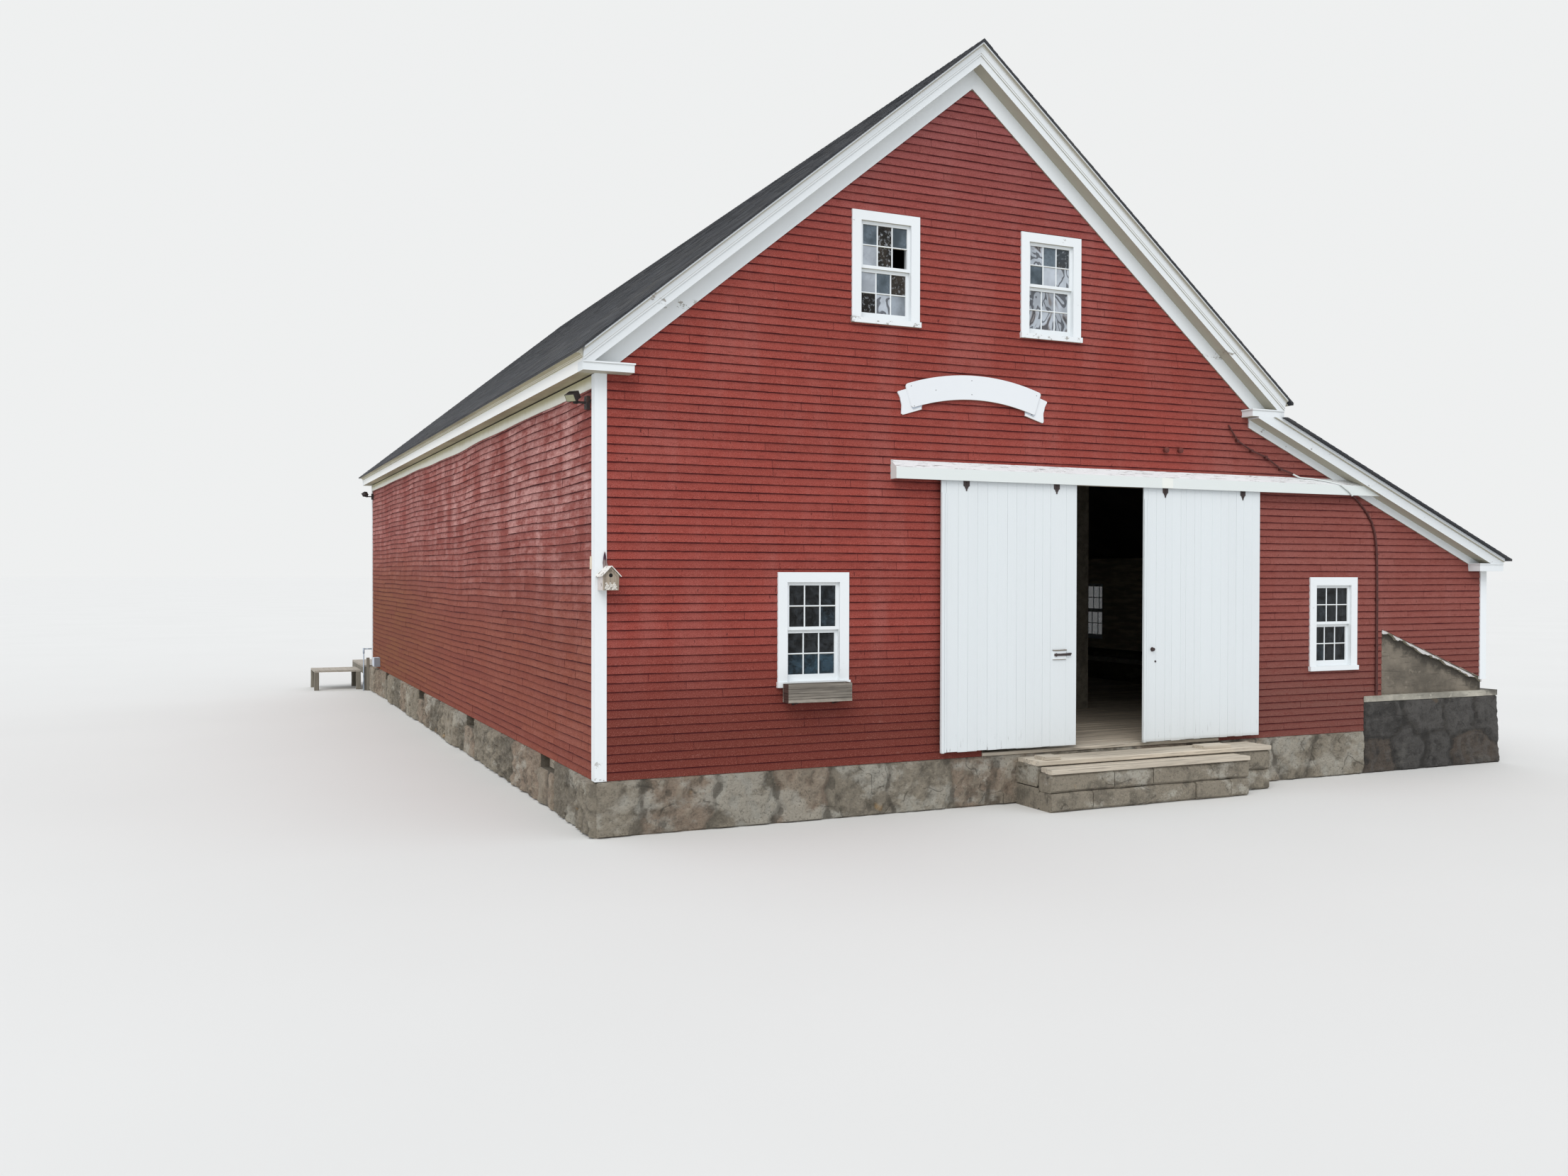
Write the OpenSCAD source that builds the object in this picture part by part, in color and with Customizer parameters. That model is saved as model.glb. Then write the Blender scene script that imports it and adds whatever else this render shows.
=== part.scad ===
// Red timber barn with a steep main roof, a lean-to on the right, a pair of
// sliding doors under a hood and a stone foundation.
// Building frame: X right along the front sheathing, Y back, Z up, origin at
// the front left sheathing corner on the sill line.  Millimetres.

/* [Main building] */
// Length between the front and rear sheathing
barn_len = 20560; // [17000:20:24000]
// Width of the tall part between its sheathing faces
main_w = 9980; // [9500:20:11000]
// Height of the main soffit above the sill line
soffit_z = 4650; // [4500:10:5200]
// Slope of the main roof in degrees
main_pitch = 39.2; // [34:0.1:44]
// Thickness of the framed walls
wall_t = 150; // [120:5:200]
// Depth of masonry below the sill line, down to the lowest ground
ground_drop = 650; // [500:10:900]

/* [Lean-to] */
// Width of the lean-to between the main wall line and its own sheathing
lean_w = 4760; // [4400:20:5200]
// Height of the lean-to soffit above the sill line
lean_soffit_z = 2445; // [2350:5:2550]
// Slope of the lean-to roof in degrees
lean_pitch = 22.8; // [20:0.1:24]
// Overhang of the lean-to eave to its fascia face
lean_over = 160; // [120:5:220]
// Depth of the lean-to rake from roof top to soffit, square to the slope
lean_rake_depth = 205; // [180:1:240]

/* [Roof covering] */
// Thickness of the shingle layer
shingle_t = 22; // [14:1:30]
// Thickness of the roof boards under the shingles
deck_t = 28; // [20:1:40]
// How far the shingles reach beyond the fascia faces
shingle_out = 90; // [80:1:110]
// Clearance between the roof boards and what carries them
roof_seat = 0.3; // [0.1:0.1:0.8]
// Width of one leg of the ridge cap
ridge_leg = 170; // [120:5:220]
// Thickness of the ridge cap
ridge_t = 12; // [8:1:18]

/* [Main cornice] */
// Overhang of the main roof to its fascia faces
eave_over = 220; // [190:5:260]
// Depth of the main rake from roof top to soffit, square to the slope
rake_depth = 218; // [200:1:250]
// How far the crown moulding stands out from the fascia
crown_out = 78; // [60:1:90]
// Height of the rake crown moulding
crown_h = 116; // [95:1:125]
// Thickness of the fascia boards
fascia_t = 25; // [18:1:32]
// Thickness of the soffit boards
soffit_t = 20; // [14:1:28]
// Thickness of the frieze boards
frieze_t = 30; // [24:1:36]
// Width of the rake frieze below the soffit
rake_frieze_w = 196; // [160:2:230]
// Width of the level frieze under the long eaves
eave_frieze_w = 138; // [110:2:170]
// Open joint between the level frieze and the soffit
frieze_joint = 12; // [6:1:20]
// Visible height of the long eave fascia below its crown
eave_fascia_h = 140; // [110:2:160]

/* [Cornice returns] */
// Length of each main return in from the wall corner
return_len = 380; // [300:5:480]
// Height of the return box
return_h = 88; // [70:2:110]
// Thickness of the cap board on a return
return_cap_t = 18; // [12:1:26]
// How far a cap board stands out from its box
return_cap_out = 12; // [6:1:20]

/* [Corner boards] */
// Thickness of the corner boards
corner_t = 28; // [22:1:34]
// Face width of the corner boards
corner_w = 140; // [110:2:180]

/* [Lean-to cornice] */
// Height of the flat crown board on the lean-to rake
lean_crown_h = 50; // [40:1:65]
// How far that crown board stands out from the fascia
lean_crown_out = 28; // [18:1:40]
// Width of the lean-to rake frieze below the soffit
lean_frieze_w = 110; // [80:2:140]
// How far the lean-to frieze runs onto the main gable wall
lean_frieze_in = 260; // [200:5:320]
// Length of the lean-to return in from its corner
lean_return_len = 380; // [300:5:460]
// Height of the lean-to return box
lean_return_h = 106; // [80:2:130]

/* [Doorway and sliding doors] */
// Left side of the wagon doorway
doorway_x = 5180; // [5000:10:5300]
// Width of the wagon doorway
doorway_w = 4000; // [3800:10:4100]
// Head height of the wagon doorway
doorway_h = 3590; // [3500:10:3640]
// Width of one door leaf
door_w = 2116; // [2060:2:2180]
// Thickness of a door leaf
door_t = 45; // [35:1:60]
// Gap between the sheathing and the back of the doors
door_gap = 60; // [50:1:80]
// How far the doors rise above the doorway head
door_lap = 10; // [5:5:60]
// Height of the left leaf above the sill line
door_foot_left = 85; // [60:1:110]
// Height of the right leaf above the sill line
door_foot_right = 58; // [56:1:110]
// Width between the two leaves as they stand
door_apart = 1132; // [1000:2:1200]
// Left edge of the left leaf as it stands
door_left_x = 4502; // [4450:2:4560]
// Width of the edge batten on each leaf
batten_w = 76; // [50:2:100]
// Thickness of the edge batten
batten_t = 15; // [10:1:22]

/* [Door track] */
// Thickness of the flat rail
rail_t = 8; // [6:1:12]
// Height of the flat rail
rail_h = 40; // [30:1:50]
// Height of the rail foot above the door tops
rail_rise = 25; // [15:1:40]
// Left end of the rail
rail_x0 = 3860; // [3840:5:3900]
// Room between the rail's right end and the lean-to rake above it
rail_clear = 184; // [150:2:220]
// Number of spacer blocks behind the rail
rail_blocks = 8; // [6:1:10]
// Radius of a door roller
roller_r = 28; // [20:1:34]
// Width of a door roller
roller_w = 20; // [14:1:26]
// Running gap between a roller and the rail
roller_gap = 0.3; // [0.2:0.1:0.6]
// Width of a hanger strap
strap_w = 90; // [60:2:110]
// Thickness of a hanger strap
strap_t = 8; // [5:1:12]
// How far a strap reaches down the door face below the hood
strap_drop = 127; // [105:1:170]
// Distance of the outer hanger from the outer door edge
hanger_in = 372; // [250:2:450]
// Distance of the inner hanger from the inner door edge
hanger_in2 = 332; // [250:2:450]
// Height of the latch plate foot above the sill line
latch_z = 1246; // [1150:2:1350]
// Side of the latch plate
latch_plate = 120; // [100:2:140]
// Length of the latch hasp
latch_len = 265; // [220:5:300]
// Distance of the latch plate from the inner door edge
latch_in = 388; // [350:2:420]
// Height of the door knob above the sill line
knob_z = 1343; // [1250:2:1450]
// Distance of the door knob from the inner door edge
knob_in = 154; // [120:2:200]

/* [Track hood] */
// Left end of the hood
hood_x0 = 3812; // [3780:2:3830]
// How far the hood stands out from the sheathing
hood_out = 160; // [150:2:190]
// Height of the hood front board
hood_h = 145; // [120:2:170]
// Rise of the sloping hood top from front to wall
hood_rise = 105; // [90:2:130]
// Thickness of the hood boards
hood_t = 20; // [15:1:26]
// How far the hood comes down over the tops of the doors
hood_hide = 25; // [10:1:40]
// Fitting joint between the hood and the lean-to rake
hood_fit = 0.5; // [0.2:0.1:2]

/* [Windows] */
// Clear width of a window between its jambs
win_w = 712; // [650:2:800]
// Clear height of a window between head and sill
win_h = 1210; // [1100:2:1300]
// Width of the side casing boards
casing_w = 127; // [90:1:140]
// Height of the head casing across the top
head_h = 121; // [90:1:140]
// Thickness of the window casing boards
casing_t = 32; // [24:1:40]
// Thickness of the jamb boards in the wall opening
jamb_t = 20; // [14:1:26]
// Height of the window sill board
win_sill_h = 68; // [45:1:80]
// How far the window sill stands out from the casing
win_sill_out = 25; // [12:1:34]
// How far the window sill passes the side casings
win_sill_ear = 10; // [4:1:18]
// Width of the sash stiles and rails
sash_w = 40; // [32:1:50]
// Height of the lower sash's foot rail
sash_foot = 80; // [60:1:95]
// Thickness of a sash
sash_t = 35; // [28:1:40]
// Distance of the upper sash behind the sheathing face
sash_in = 8; // [4:1:20]
// Thickness of the window glass
glass_t = 4; // [3:1:8]
// Centre of the lower front window
low_win_x = 2736; // [2500:2:2900]
// Sill foot height of the lower front window
low_win_z = 998; // [900:2:1100]
// Distance of the upper windows from the gable centre line
up_win_off = 1255; // [1150:5:1400]
// Sill foot height of the upper windows above the soffit
up_win_rise = 850; // [750:5:950]
// Centre of the lean-to front window from the main wall line
lean_win_in = 1440; // [1300:5:1600]
// Sill foot height of the lean-to end windows
lean_win_z = 945; // [900:5:1000]
// Sill foot height of the lean-to side windows
side_win_z = 870; // [840:5:880]
// Middle window of the lean-to side wall
side_win_y = 9800; // [9400:20:10200]
// Spacing of the lean-to side windows
side_win_pitch = 6200; // [5400:20:6600]

/* [Floor and frame] */
// Thickness of the plank floor
floor_t = 50; // [35:1:70]
// Side of the square arcade posts
post_w = 250; // [200:5:300]
// Height of the arcade plate below the lean-to roof
plate_h = 250; // [200:5:300]
// Number of bays along the barn
bays = 5; // [4:1:6]

/* [Foundation] */
// Thickness of the foundation walls
found_t = 400; // [350:5:500]
// Distance of the first cellar opening from the front
vent_y0 = 1862; // [1600:10:2100]
// Spacing of the cellar openings
vent_pitch = 5140; // [4800:10:5400]
// Width of a cellar opening
vent_w = 750; // [600:10:900]
// Height of a cellar opening
vent_h = 185; // [140:5:230]
// Depth of the closing panel behind the foundation face
vent_in = 120; // [80:5:180]
// Thickness of the closing panel
vent_t = 25; // [18:1:40]
// Height of the light ledge on the lean-to foundation
ledge_z = 529; // [480:1:560]
// Thickness of that ledge
ledge_h = 90; // [70:1:110]
// How far the ledge stands out
ledge_out = 20; // [10:1:30]
// Place where the foundation steps up, from the lean-to corner
step_in = 2670; // [2600:10:2800]
// Place where the siding is cut up, from the lean-to corner
cut_in = 2295; // [2200:5:2400]
// Height of the cut siding at its high end
cut_high = 1546; // [1450:2:1650]
// Height of the cut siding at the lean-to corner
cut_low = 710; // [660:2:740]
// How far the parged wall lies behind the sheathing face
parge_in = 55; // [30:1:80]
// How far the right foundation stands out at its top
buttress_out = 290; // [250:5:340]
// Extra spread of the right foundation at the ground
batter = 90; // [50:5:130]

/* [Entry steps] */
// Left end of the step plank
plank_x = 5700; // [5500:10:6000]
// Length of the step plank
plank_len = 3970; // [3600:10:4200]
// Depth of the step plank
plank_w = 480; // [400:5:520]
// Thickness of the step planks
plank_t = 60; // [45:1:75]
// Top of the step plank below the sill line
plank_drop = 30; // [15:1:45]
// Length of the lower plank
plank2_len = 3300; // [2900:10:3700]
// Top of the lower plank below the sill line
plank2_drop = 104; // [98:2:140]
// Depth of the lower plank
plank2_w = 290; // [240:5:340]
// Length of the left block on the step plank
block_left = 250; // [200:5:300]
// Length of the right block on the step plank
block_right = 480; // [400:5:560]
// Depth of the two blocks
block_w = 230; // [180:5:280]
// Thickness of the two blocks
block_t = 46; // [36:1:60]
// Distance of the left block from the plank's left end
block_left_in = 130; // [80:5:200]
// Distance of the right block from the plank's right end
block_right_in = 710; // [600:5:800]

/* [Window box] */
// Length of the window box
box_len = 856; // [780:2:920]
// Height of the window box
box_h = 228; // [190:2:260]
// Depth of the window box
box_d = 170; // [130:2:200]
// Board thickness of the window box
box_t = 18; // [12:1:24]
// Drop of the window box rim below the sill top
box_drop = 16; // [5:1:30]
// Height of the iron brackets below the window box
bracket_h = 45; // [30:1:60]

/* [Banner sign] */
// Centre of the bare banner board from the gable centre line
banner_off = 48; // [0:2:100]
// Top of the banner arch above the soffit
banner_rise = 295; // [250:1:340]
// Radius of the banner arch
banner_r = 3270; // [3000:10:3800]
// Height of the banner ribbon
banner_h = 314; // [280:2:360]
// Half the width of the banner ribbon
banner_half = 1040; // [980:5:1080]
// How far each tail passes the ribbon's end
tail_out = 110; // [80:2:140]
// How far each tail runs in behind the ribbon
tail_in = 250; // [200:5:300]
// Height of the tails
tail_h = 296; // [240:2:310]
// Drop of the tails below the top of the arch
tail_drop = 262; // [230:2:290]
// Depth of the notch in each tail
tail_notch = 74; // [50:2:90]
// Thickness of the banner board
banner_t = 18; // [12:1:24]
// Thickness of the cleats behind the banner
cleat_t = 34; // [30:1:40]

/* [Birdhouse] */
// Left side of the birdhouse from the wall corner
bird_x = 5; // [0:1:20]
// Width of the birdhouse body
bird_w = 187; // [160:1:220]
// Depth of the birdhouse body
bird_d = 215; // [180:5:240]
// Height of the birdhouse walls
bird_h = 172; // [150:2:200]
// Foot height of the birdhouse
bird_z = 2187; // [2100:1:2300]
// Rise of the birdhouse roof
bird_rise = 98; // [80:1:115]
// Thickness of the birdhouse roof boards
bird_roof_t = 14; // [8:1:18]
// Overhang of the birdhouse roof
bird_over = 22; // [12:1:30]
// Radius of the entrance hole
bird_hole_r = 21; // [14:1:26]
// Height of the pointed back board above the walls
bird_spike = 320; // [250:5:360]

/* [Lamps, conduit and meter box] */
// Height of the flood lamps below the soffit
lamp_drop = 305; // [280:5:380]
// Distance of the flood lamps from the wall corners
lamp_in = 255; // [220:5:320]
// Width of a flood lamp head
lamp_w = 140; // [120:5:190]
// Height of a flood lamp head
lamp_h = 92; // [80:2:130]
// Reach of the lamp bracket from the wall
lamp_reach = 175; // [150:5:210]
// Downward tilt of the lamp heads in degrees
lamp_tilt = 32; // [15:1:45]
// Turn of a lamp head towards its end of the barn, in degrees
lamp_turn = 35; // [0:1:50]
// Width of the mounting boxes behind the lamps
lamp_box = 104; // [90:2:120]
// Radius of the electric conduit
pipe_r = 12; // [8:1:16]
// Height of the meter box foot
meter_z = 60; // [40:5:100]
// Distance of the meter box from the rear corner
meter_in = 1200; // [1000:10:1400]
// Width of the meter box
meter_w = 350; // [300:5:400]
// Height of the meter box
meter_h = 220; // [180:5:260]
// Depth of the meter box
meter_d = 150; // [120:5:180]

/* [Rear landing] */
// Length of the rear landing along the rear wall
land_x = 1600; // [1400:10:1800]
// Depth of the rear landing
land_y = 2450; // [2200:10:2700]
// Thickness of the landing planks
land_t = 45; // [35:1:60]
// How far the landing passes the left wall
land_out = 250; // [200:5:300]
// Length of the board ramp beside the landing
ramp_len = 1150; // [1000:10:1300]
// Distance of the board ramp from the rear wall
ramp_y = 400; // [300:10:500]
// Width of the board ramp
ramp_w = 1200; // [1000:10:1400]
// Drop of the board ramp below the landing boards
ramp_drop = 95; // [70:5:120]
// Side of the square landing legs
leg_w = 120; // [90:5:140]
// Height of the side board under the landing
side_board_h = 160; // [120:5:200]
// Height of the hand rail above the landing
rail_top = 440; // [400:5:950]
// Left edge of the rear door from the left wall face
rear_door_x = 320; // [250:5:400]
// Width of the rear door leaf
rear_door_w = 950; // [850:5:1050]
// Height of the rear door leaf
rear_door_h = 2050; // [1950:5:2150]

/* [Hidden] */
$fn = 24;
e = 1;
lean_x = main_w + lean_w;
mid = main_w / 2;
roof_t = shingle_t + deck_t;
cm = cos(main_pitch);
tm = tan(main_pitch);
cl = cos(lean_pitch);
tl = tan(lean_pitch);
cap_z = soffit_z + return_h + return_cap_t;
lean_cap_z = lean_soffit_z + lean_return_h + return_cap_t;
edge = eave_over + shingle_out;
far = 60000;
win_ow = win_w + 2 * casing_w;
win_oh = win_sill_h + win_h + head_h;
pane_h = (win_h - 3 * sash_w - sash_foot) / 2;
door_top = doorway_h + door_lap;
door_right_x = door_left_x + door_w + door_apart;
rail_z = door_top + rail_rise;
rail_y = -(door_gap + door_t / 2);
rail_x1 = lean_x + lean_over - (rail_z + rail_h + rail_clear - lean_soffit_z) / tl;
door_face = -(door_gap + door_t);
hood_z = door_top - hood_hide;
step_x = lean_x - step_in;
cut_x = lean_x - cut_in;
found_z = ledge_z - ledge_h;
strap_z = hood_z - strap_drop;
x_lo = -(land_out + ramp_len);
x_hi = lean_x + buttress_out + batter;
y_lo = -(door_gap + plank_w + plank2_w);
y_hi = barn_len + land_y;

// Height of the main roof's top surface over x
function roof_z(x) = soffit_z + rake_depth / cm
    + tm * (eave_over + (x < mid ? x : main_w - x));
// Height of the lean-to roof's top surface over x
function lean_z(x) = lean_soffit_z + lean_rake_depth / cl + tl * (lean_x + lean_over - x);
// Tops of the walls, a clearance below the roof boards
function wall_z(x) = roof_z(x) - (roof_t + roof_seat) / cm;
function lean_wall_z(x) = lean_z(x) - (roof_t + roof_seat) / cl;

// Moves the building frame to the part's own frame
module place() {
    translate([-(x_lo + x_hi) / 2, -(y_lo + y_hi) / 2, ground_drop])
        children();
}

// The same piece at the rear, as a mirror image of the front one
module rear() {
    translate([0, barn_len, 0])
        mirror([0, 1, 0])
            children();
}

// The same piece on the other slope or side of the tall part
module across() {
    translate([main_w, 0, 0])
        mirror([1, 0, 0])
            children();
}

// An outline in X and Z drawn from y0 to y1
module along_y(points, y0, y1) {
    translate([0, y1, 0])
        rotate([90, 0, 0])
            linear_extrude(y1 - y0)
                polygon(points);
}

// An outline in distance out from the front and Z, drawn from x0 to x1
module along_x(points, x0, x1) {
    translate([x1, 0, 0])
        rotate([0, 0, -90])
            rotate([90, 0, 0])
                linear_extrude(x1 - x0)
                    polygon(points);
}

module box(a, b) {
    translate(a)
        cube(b - a);
}

// Walls

module window_hole(x, z) {
    w = win_w + 2 * jamb_t;
    z0 = z + win_sill_h - jamb_t;
    box([x - w / 2, -e, z0], [x + w / 2, wall_t + e, z0 + win_h + 2 * jamb_t]);
}

module front_wall_left() {
    color([0.59, 0.26, 0.24])
        difference() {
            box([0, 0, 0], [doorway_x, wall_t, doorway_h]);
            window_hole(low_win_x, low_win_z);
        }
}

module front_gable() {
    color([0.59, 0.26, 0.24])
        difference() {
            along_y([[0, doorway_h], [main_w, doorway_h], [main_w, wall_z(main_w)],
                     [mid, wall_z(mid)], [0, wall_z(0)]], 0, wall_t);
            for (s = [-1, 1])
                window_hole(mid + s * up_win_off, soffit_z + up_win_rise);
        }
}

// Lean-to end wall with its lower edge cut up along the old ground line
module lean_end(x0, z0) {
    intersection() {
        along_y([[x0, 0], [step_x, 0], [step_x, ledge_z], [cut_x, ledge_z], [cut_x, cut_high],
                 [lean_x, cut_low], [lean_x, lean_wall_z(lean_x)],
                 [main_w, lean_wall_z(main_w)], [main_w, z0], [x0, z0]], 0, wall_t);
        box([x0 - e, -e, -e], [lean_x + e, wall_t + e, soffit_z]);
    }
}

module front_wall_right() {
    color([0.59, 0.26, 0.24])
        difference() {
            lean_end(doorway_x + doorway_w, doorway_h);
            window_hole(main_w + lean_win_in, lean_win_z);
        }
}

module rear_wall() {
    color([0.55, 0.25, 0.23])
        rear()
            difference() {
                union() {
                    along_y([[0, 0], [main_w, 0], [main_w, wall_z(main_w)],
                             [mid, wall_z(mid)], [0, wall_z(0)]], 0, wall_t);
                    lean_end(main_w - post_w, doorway_h);
                }
                for (s = [-1, 1])
                    window_hole(mid + s * up_win_off, soffit_z + up_win_rise);
                window_hole(main_w + lean_win_in, lean_win_z);
                box([rear_door_x, -e, floor_t],
                    [rear_door_x + rear_door_w, wall_t + e, floor_t + rear_door_h]);
            }
}

module left_wall() {
    color([0.56, 0.35, 0.33])
        along_y([[0, 0], [wall_t, 0], [wall_t, wall_z(wall_t)], [0, wall_z(0)]],
            wall_t, barn_len - wall_t);
}

module side_windows() {
    for (k = [-1:1])
        translate([lean_x, side_win_y + k * side_win_pitch, 0])
            rotate([0, 0, 90])
                children();
}

module right_wall() {
    x0 = lean_x - wall_t;
    color([0.56, 0.27, 0.25])
        difference() {
            along_y([[x0, cut_low], [lean_x, cut_low], [lean_x, lean_wall_z(lean_x)],
                     [x0, lean_wall_z(x0)]], wall_t, barn_len - wall_t);
            side_windows()
                window_hole(0, side_win_z);
        }
}

// Foundation and floor

module vents() {
    for (k = [0:3])
        translate([0, vent_y0 + k * vent_pitch, -vent_h])
            children();
}

module foundation_left() {
    color([0.56, 0.54, 0.49])
        difference() {
            box([0, 0, -ground_drop], [found_t, barn_len, 0]);
            vents()
                box([-e, 0, 0], [found_t + e, vent_w, vent_h + e]);
        }
}

module cellar_vent_panels() {
    color([0.25, 0.25, 0.26])
        vents()
            box([vent_in, 0, 0], [vent_in + vent_t, vent_w, vent_h]);
}

module foundation_ends() {
    color([0.56, 0.54, 0.49]) {
        box([found_t, 0, -ground_drop], [step_x, found_t, 0]);
        rear()
            box([found_t, 0, -ground_drop], [step_x, found_t, 0]);
    }
}

// Higher masonry under the lean-to, with a battered outer face
module foundation_right() {
    x1 = lean_x + buttress_out;
    color([0.33, 0.32, 0.31])
        union() {
            along_y([[lean_x - found_t, -ground_drop], [x1 + batter, -ground_drop],
                     [x1, found_z], [lean_x - found_t, found_z]], 0, barn_len);
            box([step_x, 0, -ground_drop], [lean_x, found_t, found_z]);
            rear()
                box([step_x, 0, -ground_drop], [lean_x, found_t, found_z]);
        }
}

module foundation_ledge() {
    x1 = lean_x + buttress_out + ledge_out;
    color([0.72, 0.71, 0.68])
        difference() {
            box([step_x, -ledge_out, found_z], [x1, barn_len + ledge_out, ledge_z]);
            box([step_x - e, found_t, found_z - e],
                [lean_x - found_t, barn_len - found_t, ledge_z + e]);
        }
}

// Parged masonry set back under the cut siding
module parged_end() {
    along_y([[cut_x, ledge_z], [lean_x, ledge_z], [lean_x, cut_low], [cut_x, cut_high]],
        parge_in, wall_t);
}

module parged_wall() {
    color([0.42, 0.40, 0.36])
        union() {
            parged_end();
            rear()
                parged_end();
            box([lean_x - wall_t, wall_t, ledge_z], [lean_x - parge_in / 2, barn_len - wall_t, cut_low]);
        }
}

module plank_floor() {
    color([0.60, 0.56, 0.48])
        union() {
            box([wall_t, wall_t, 0], [step_x, barn_len - wall_t, floor_t]);
            box([step_x, found_t, 0], [lean_x - found_t, barn_len - found_t, floor_t]);
        }
}

module arcade_frame() {
    z = lean_wall_z(main_w) - plate_h;
    x = main_w - wall_t;
    color([0.50, 0.40, 0.30])
        union() {
            along_y([[x, z], [main_w, z], [main_w, wall_z(main_w)], [x, wall_z(x)]],
                wall_t, barn_len - wall_t);
            for (k = [1:bays - 1])
                translate([main_w - post_w, k * barn_len / bays - post_w / 2, floor_t])
                    cube([post_w, post_w, z - floor_t]);
        }
}

// Roofs

module roof_slope() {
    s = shingle_t / cm;
    t = roof_t / cm;
    union() {
        along_y([[-edge, roof_z(-edge) - s], [mid, roof_z(mid) - s], [mid, roof_z(mid)],
                 [-edge, roof_z(-edge)]], -edge, barn_len + edge);
        along_y([[-eave_over, roof_z(-eave_over) - t], [mid, roof_z(mid) - t],
                 [mid, roof_z(mid) - s], [-eave_over, roof_z(-eave_over) - s]],
            -eave_over, barn_len + eave_over);
    }
}

module main_roof_left() {
    color([0.27, 0.27, 0.28])
        roof_slope();
}

module main_roof_right() {
    color([0.27, 0.27, 0.28])
        across()
            roof_slope();
}

module ridge_cap() {
    x = mid - ridge_leg * cm;
    t = ridge_t / cm;
    color([0.24, 0.24, 0.25])
        along_y([[x, roof_z(x)], [mid, roof_z(mid)], [main_w - x, roof_z(x)],
                 [main_w - x, roof_z(x) + t], [mid, roof_z(mid) + t], [x, roof_z(x) + t]],
            -edge, barn_len + edge);
}

module lean_to_roof() {
    s = shingle_t / cl;
    t = roof_t / cl;
    xf = lean_x + lean_over;
    xs = xf + shingle_out;
    color([0.27, 0.27, 0.28])
        intersection() {
            union() {
                along_y([[main_w, lean_z(main_w) - s], [main_w, lean_z(main_w)],
                         [xs, lean_z(xs)], [xs, lean_z(xs) - s]], -edge, barn_len + edge);
                along_y([[main_w, lean_z(main_w) - t], [main_w, lean_z(main_w) - s],
                         [xf, lean_z(xf) - s], [xf, lean_z(xf) - t]],
                    -eave_over, barn_len + eave_over);
            }
            box([main_w, -far, 0], [xs + e, far, soffit_z]);
        }
}

// Main cornice

// Outline of the rake cornice: distance out, distance square to the roof top
function rake_outline() = let (o = eave_over, c = crown_out, d = rake_depth, h = shingle_t + crown_h)
    concat([[0, soffit_t - d], [o - fascia_t, soffit_t - d], [o - fascia_t, -roof_t - roof_seat],
            [o + roof_seat, -roof_t - roof_seat], [o + roof_seat, -shingle_t - roof_seat],
            [o + c, -shingle_t - roof_seat], [o + c, -shingle_t - 16], [o + c - 8, -shingle_t - 20]],
        [for (a = [15:15:75]) [o + c - 8 - (c - 26) * sin(a),
                               -shingle_t - 20 - (crown_h - 44) * (1 - cos(a))]],
        [[o + 18, -h + 24], [o + 12, -h + 20], [o + 12, -h + 2], [o, -h], [o, -d],
         [frieze_t, -d], [frieze_t, -d - rake_frieze_w], [0, -d - rake_frieze_w]]);

// One raking run of an outline, from its foot up past the ridge
module up_slope(outline, x0, z0, pitch, run) {
    translate([x0, 0, z0])
        rotate([0, -pitch, 0])
            along_x(outline, -run / 4, run);
}

module rake_half() {
    difference() {
        up_slope(rake_outline(), 0, roof_z(0), main_pitch, mid * 1.6);
        box([mid, -far / 2, 0], [far / 2, far / 2, far]);
        box([-far / 2, -far / 2, 0], [-eave_over, far / 2, far]);
        box([-far / 2, -far / 2, 0], [return_len + return_cap_out, far / 2, cap_z]);
    }
}

module main_rake_cornices() {
    color([0.86, 0.87, 0.87]) {
        rake_half();
        across()
            rake_half();
        rear() {
            rake_half();
            across()
                rake_half();
        }
    }
}

// Long eave: soffit, fascia and crown, drawn along the left wall
module eave_run() {
    o = eave_over;
    c = crown_out;
    g = roof_seat;
    s = (shingle_t + g) / cm;
    t = (roof_t + g) / cm;
    z = soffit_z + eave_fascia_h;
    union() {
        difference() {
            along_y([[0, soffit_z], [-o, soffit_z], [-o, roof_z(-o) - t],
                     [fascia_t - o, roof_z(fascia_t - o) - t], [fascia_t - o, soffit_z + soffit_t],
                     [0, soffit_z + soffit_t]], fascia_t - o, barn_len + o - fascia_t);
            box([-far / 2, -far / 2, 0], [far / 2, 0, cap_z]);
            rear()
                box([-far / 2, -far / 2, 0], [far / 2, 0, cap_z]);
        }
        along_y(concat([[-o, z], [-o - 12, z + 2], [-o - 12, z + 16], [-o - 18, z + 20]],
                [for (a = [15:15:75]) [-o - 18 - (c - 26) * (1 - cos(a)), z + 20 + 26 * sin(a)]],
                [[-o - c + 8, z + 46 - tm * 8], [-o - c, z + 50 - tm * 8],
                 [-o - c, roof_z(-o - c) - s], [-o - g, roof_z(-o - g) - s],
                 [-o - g, roof_z(-o) - t], [-o, roof_z(-o) - t]]),
            -o, barn_len + o);
    }
}

module left_eave_trim() {
    color([0.86, 0.87, 0.87])
        union() {
            eave_run();
            box([-frieze_t, corner_w - corner_t, soffit_z - frieze_joint - eave_frieze_w],
                [0, barn_len - corner_w + corner_t, soffit_z - frieze_joint]);
        }
}

module right_eave_trim() {
    color([0.80, 0.80, 0.79])
        across()
            eave_run();
}

module return_box() {
    box([-eave_over, -eave_over, soffit_z], [return_len, 0, soffit_z + return_h]);
    box([-eave_over, -eave_over - return_cap_out, soffit_z + return_h],
        [return_len + return_cap_out, 0, cap_z]);
}

// Lean-to cornice

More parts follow.
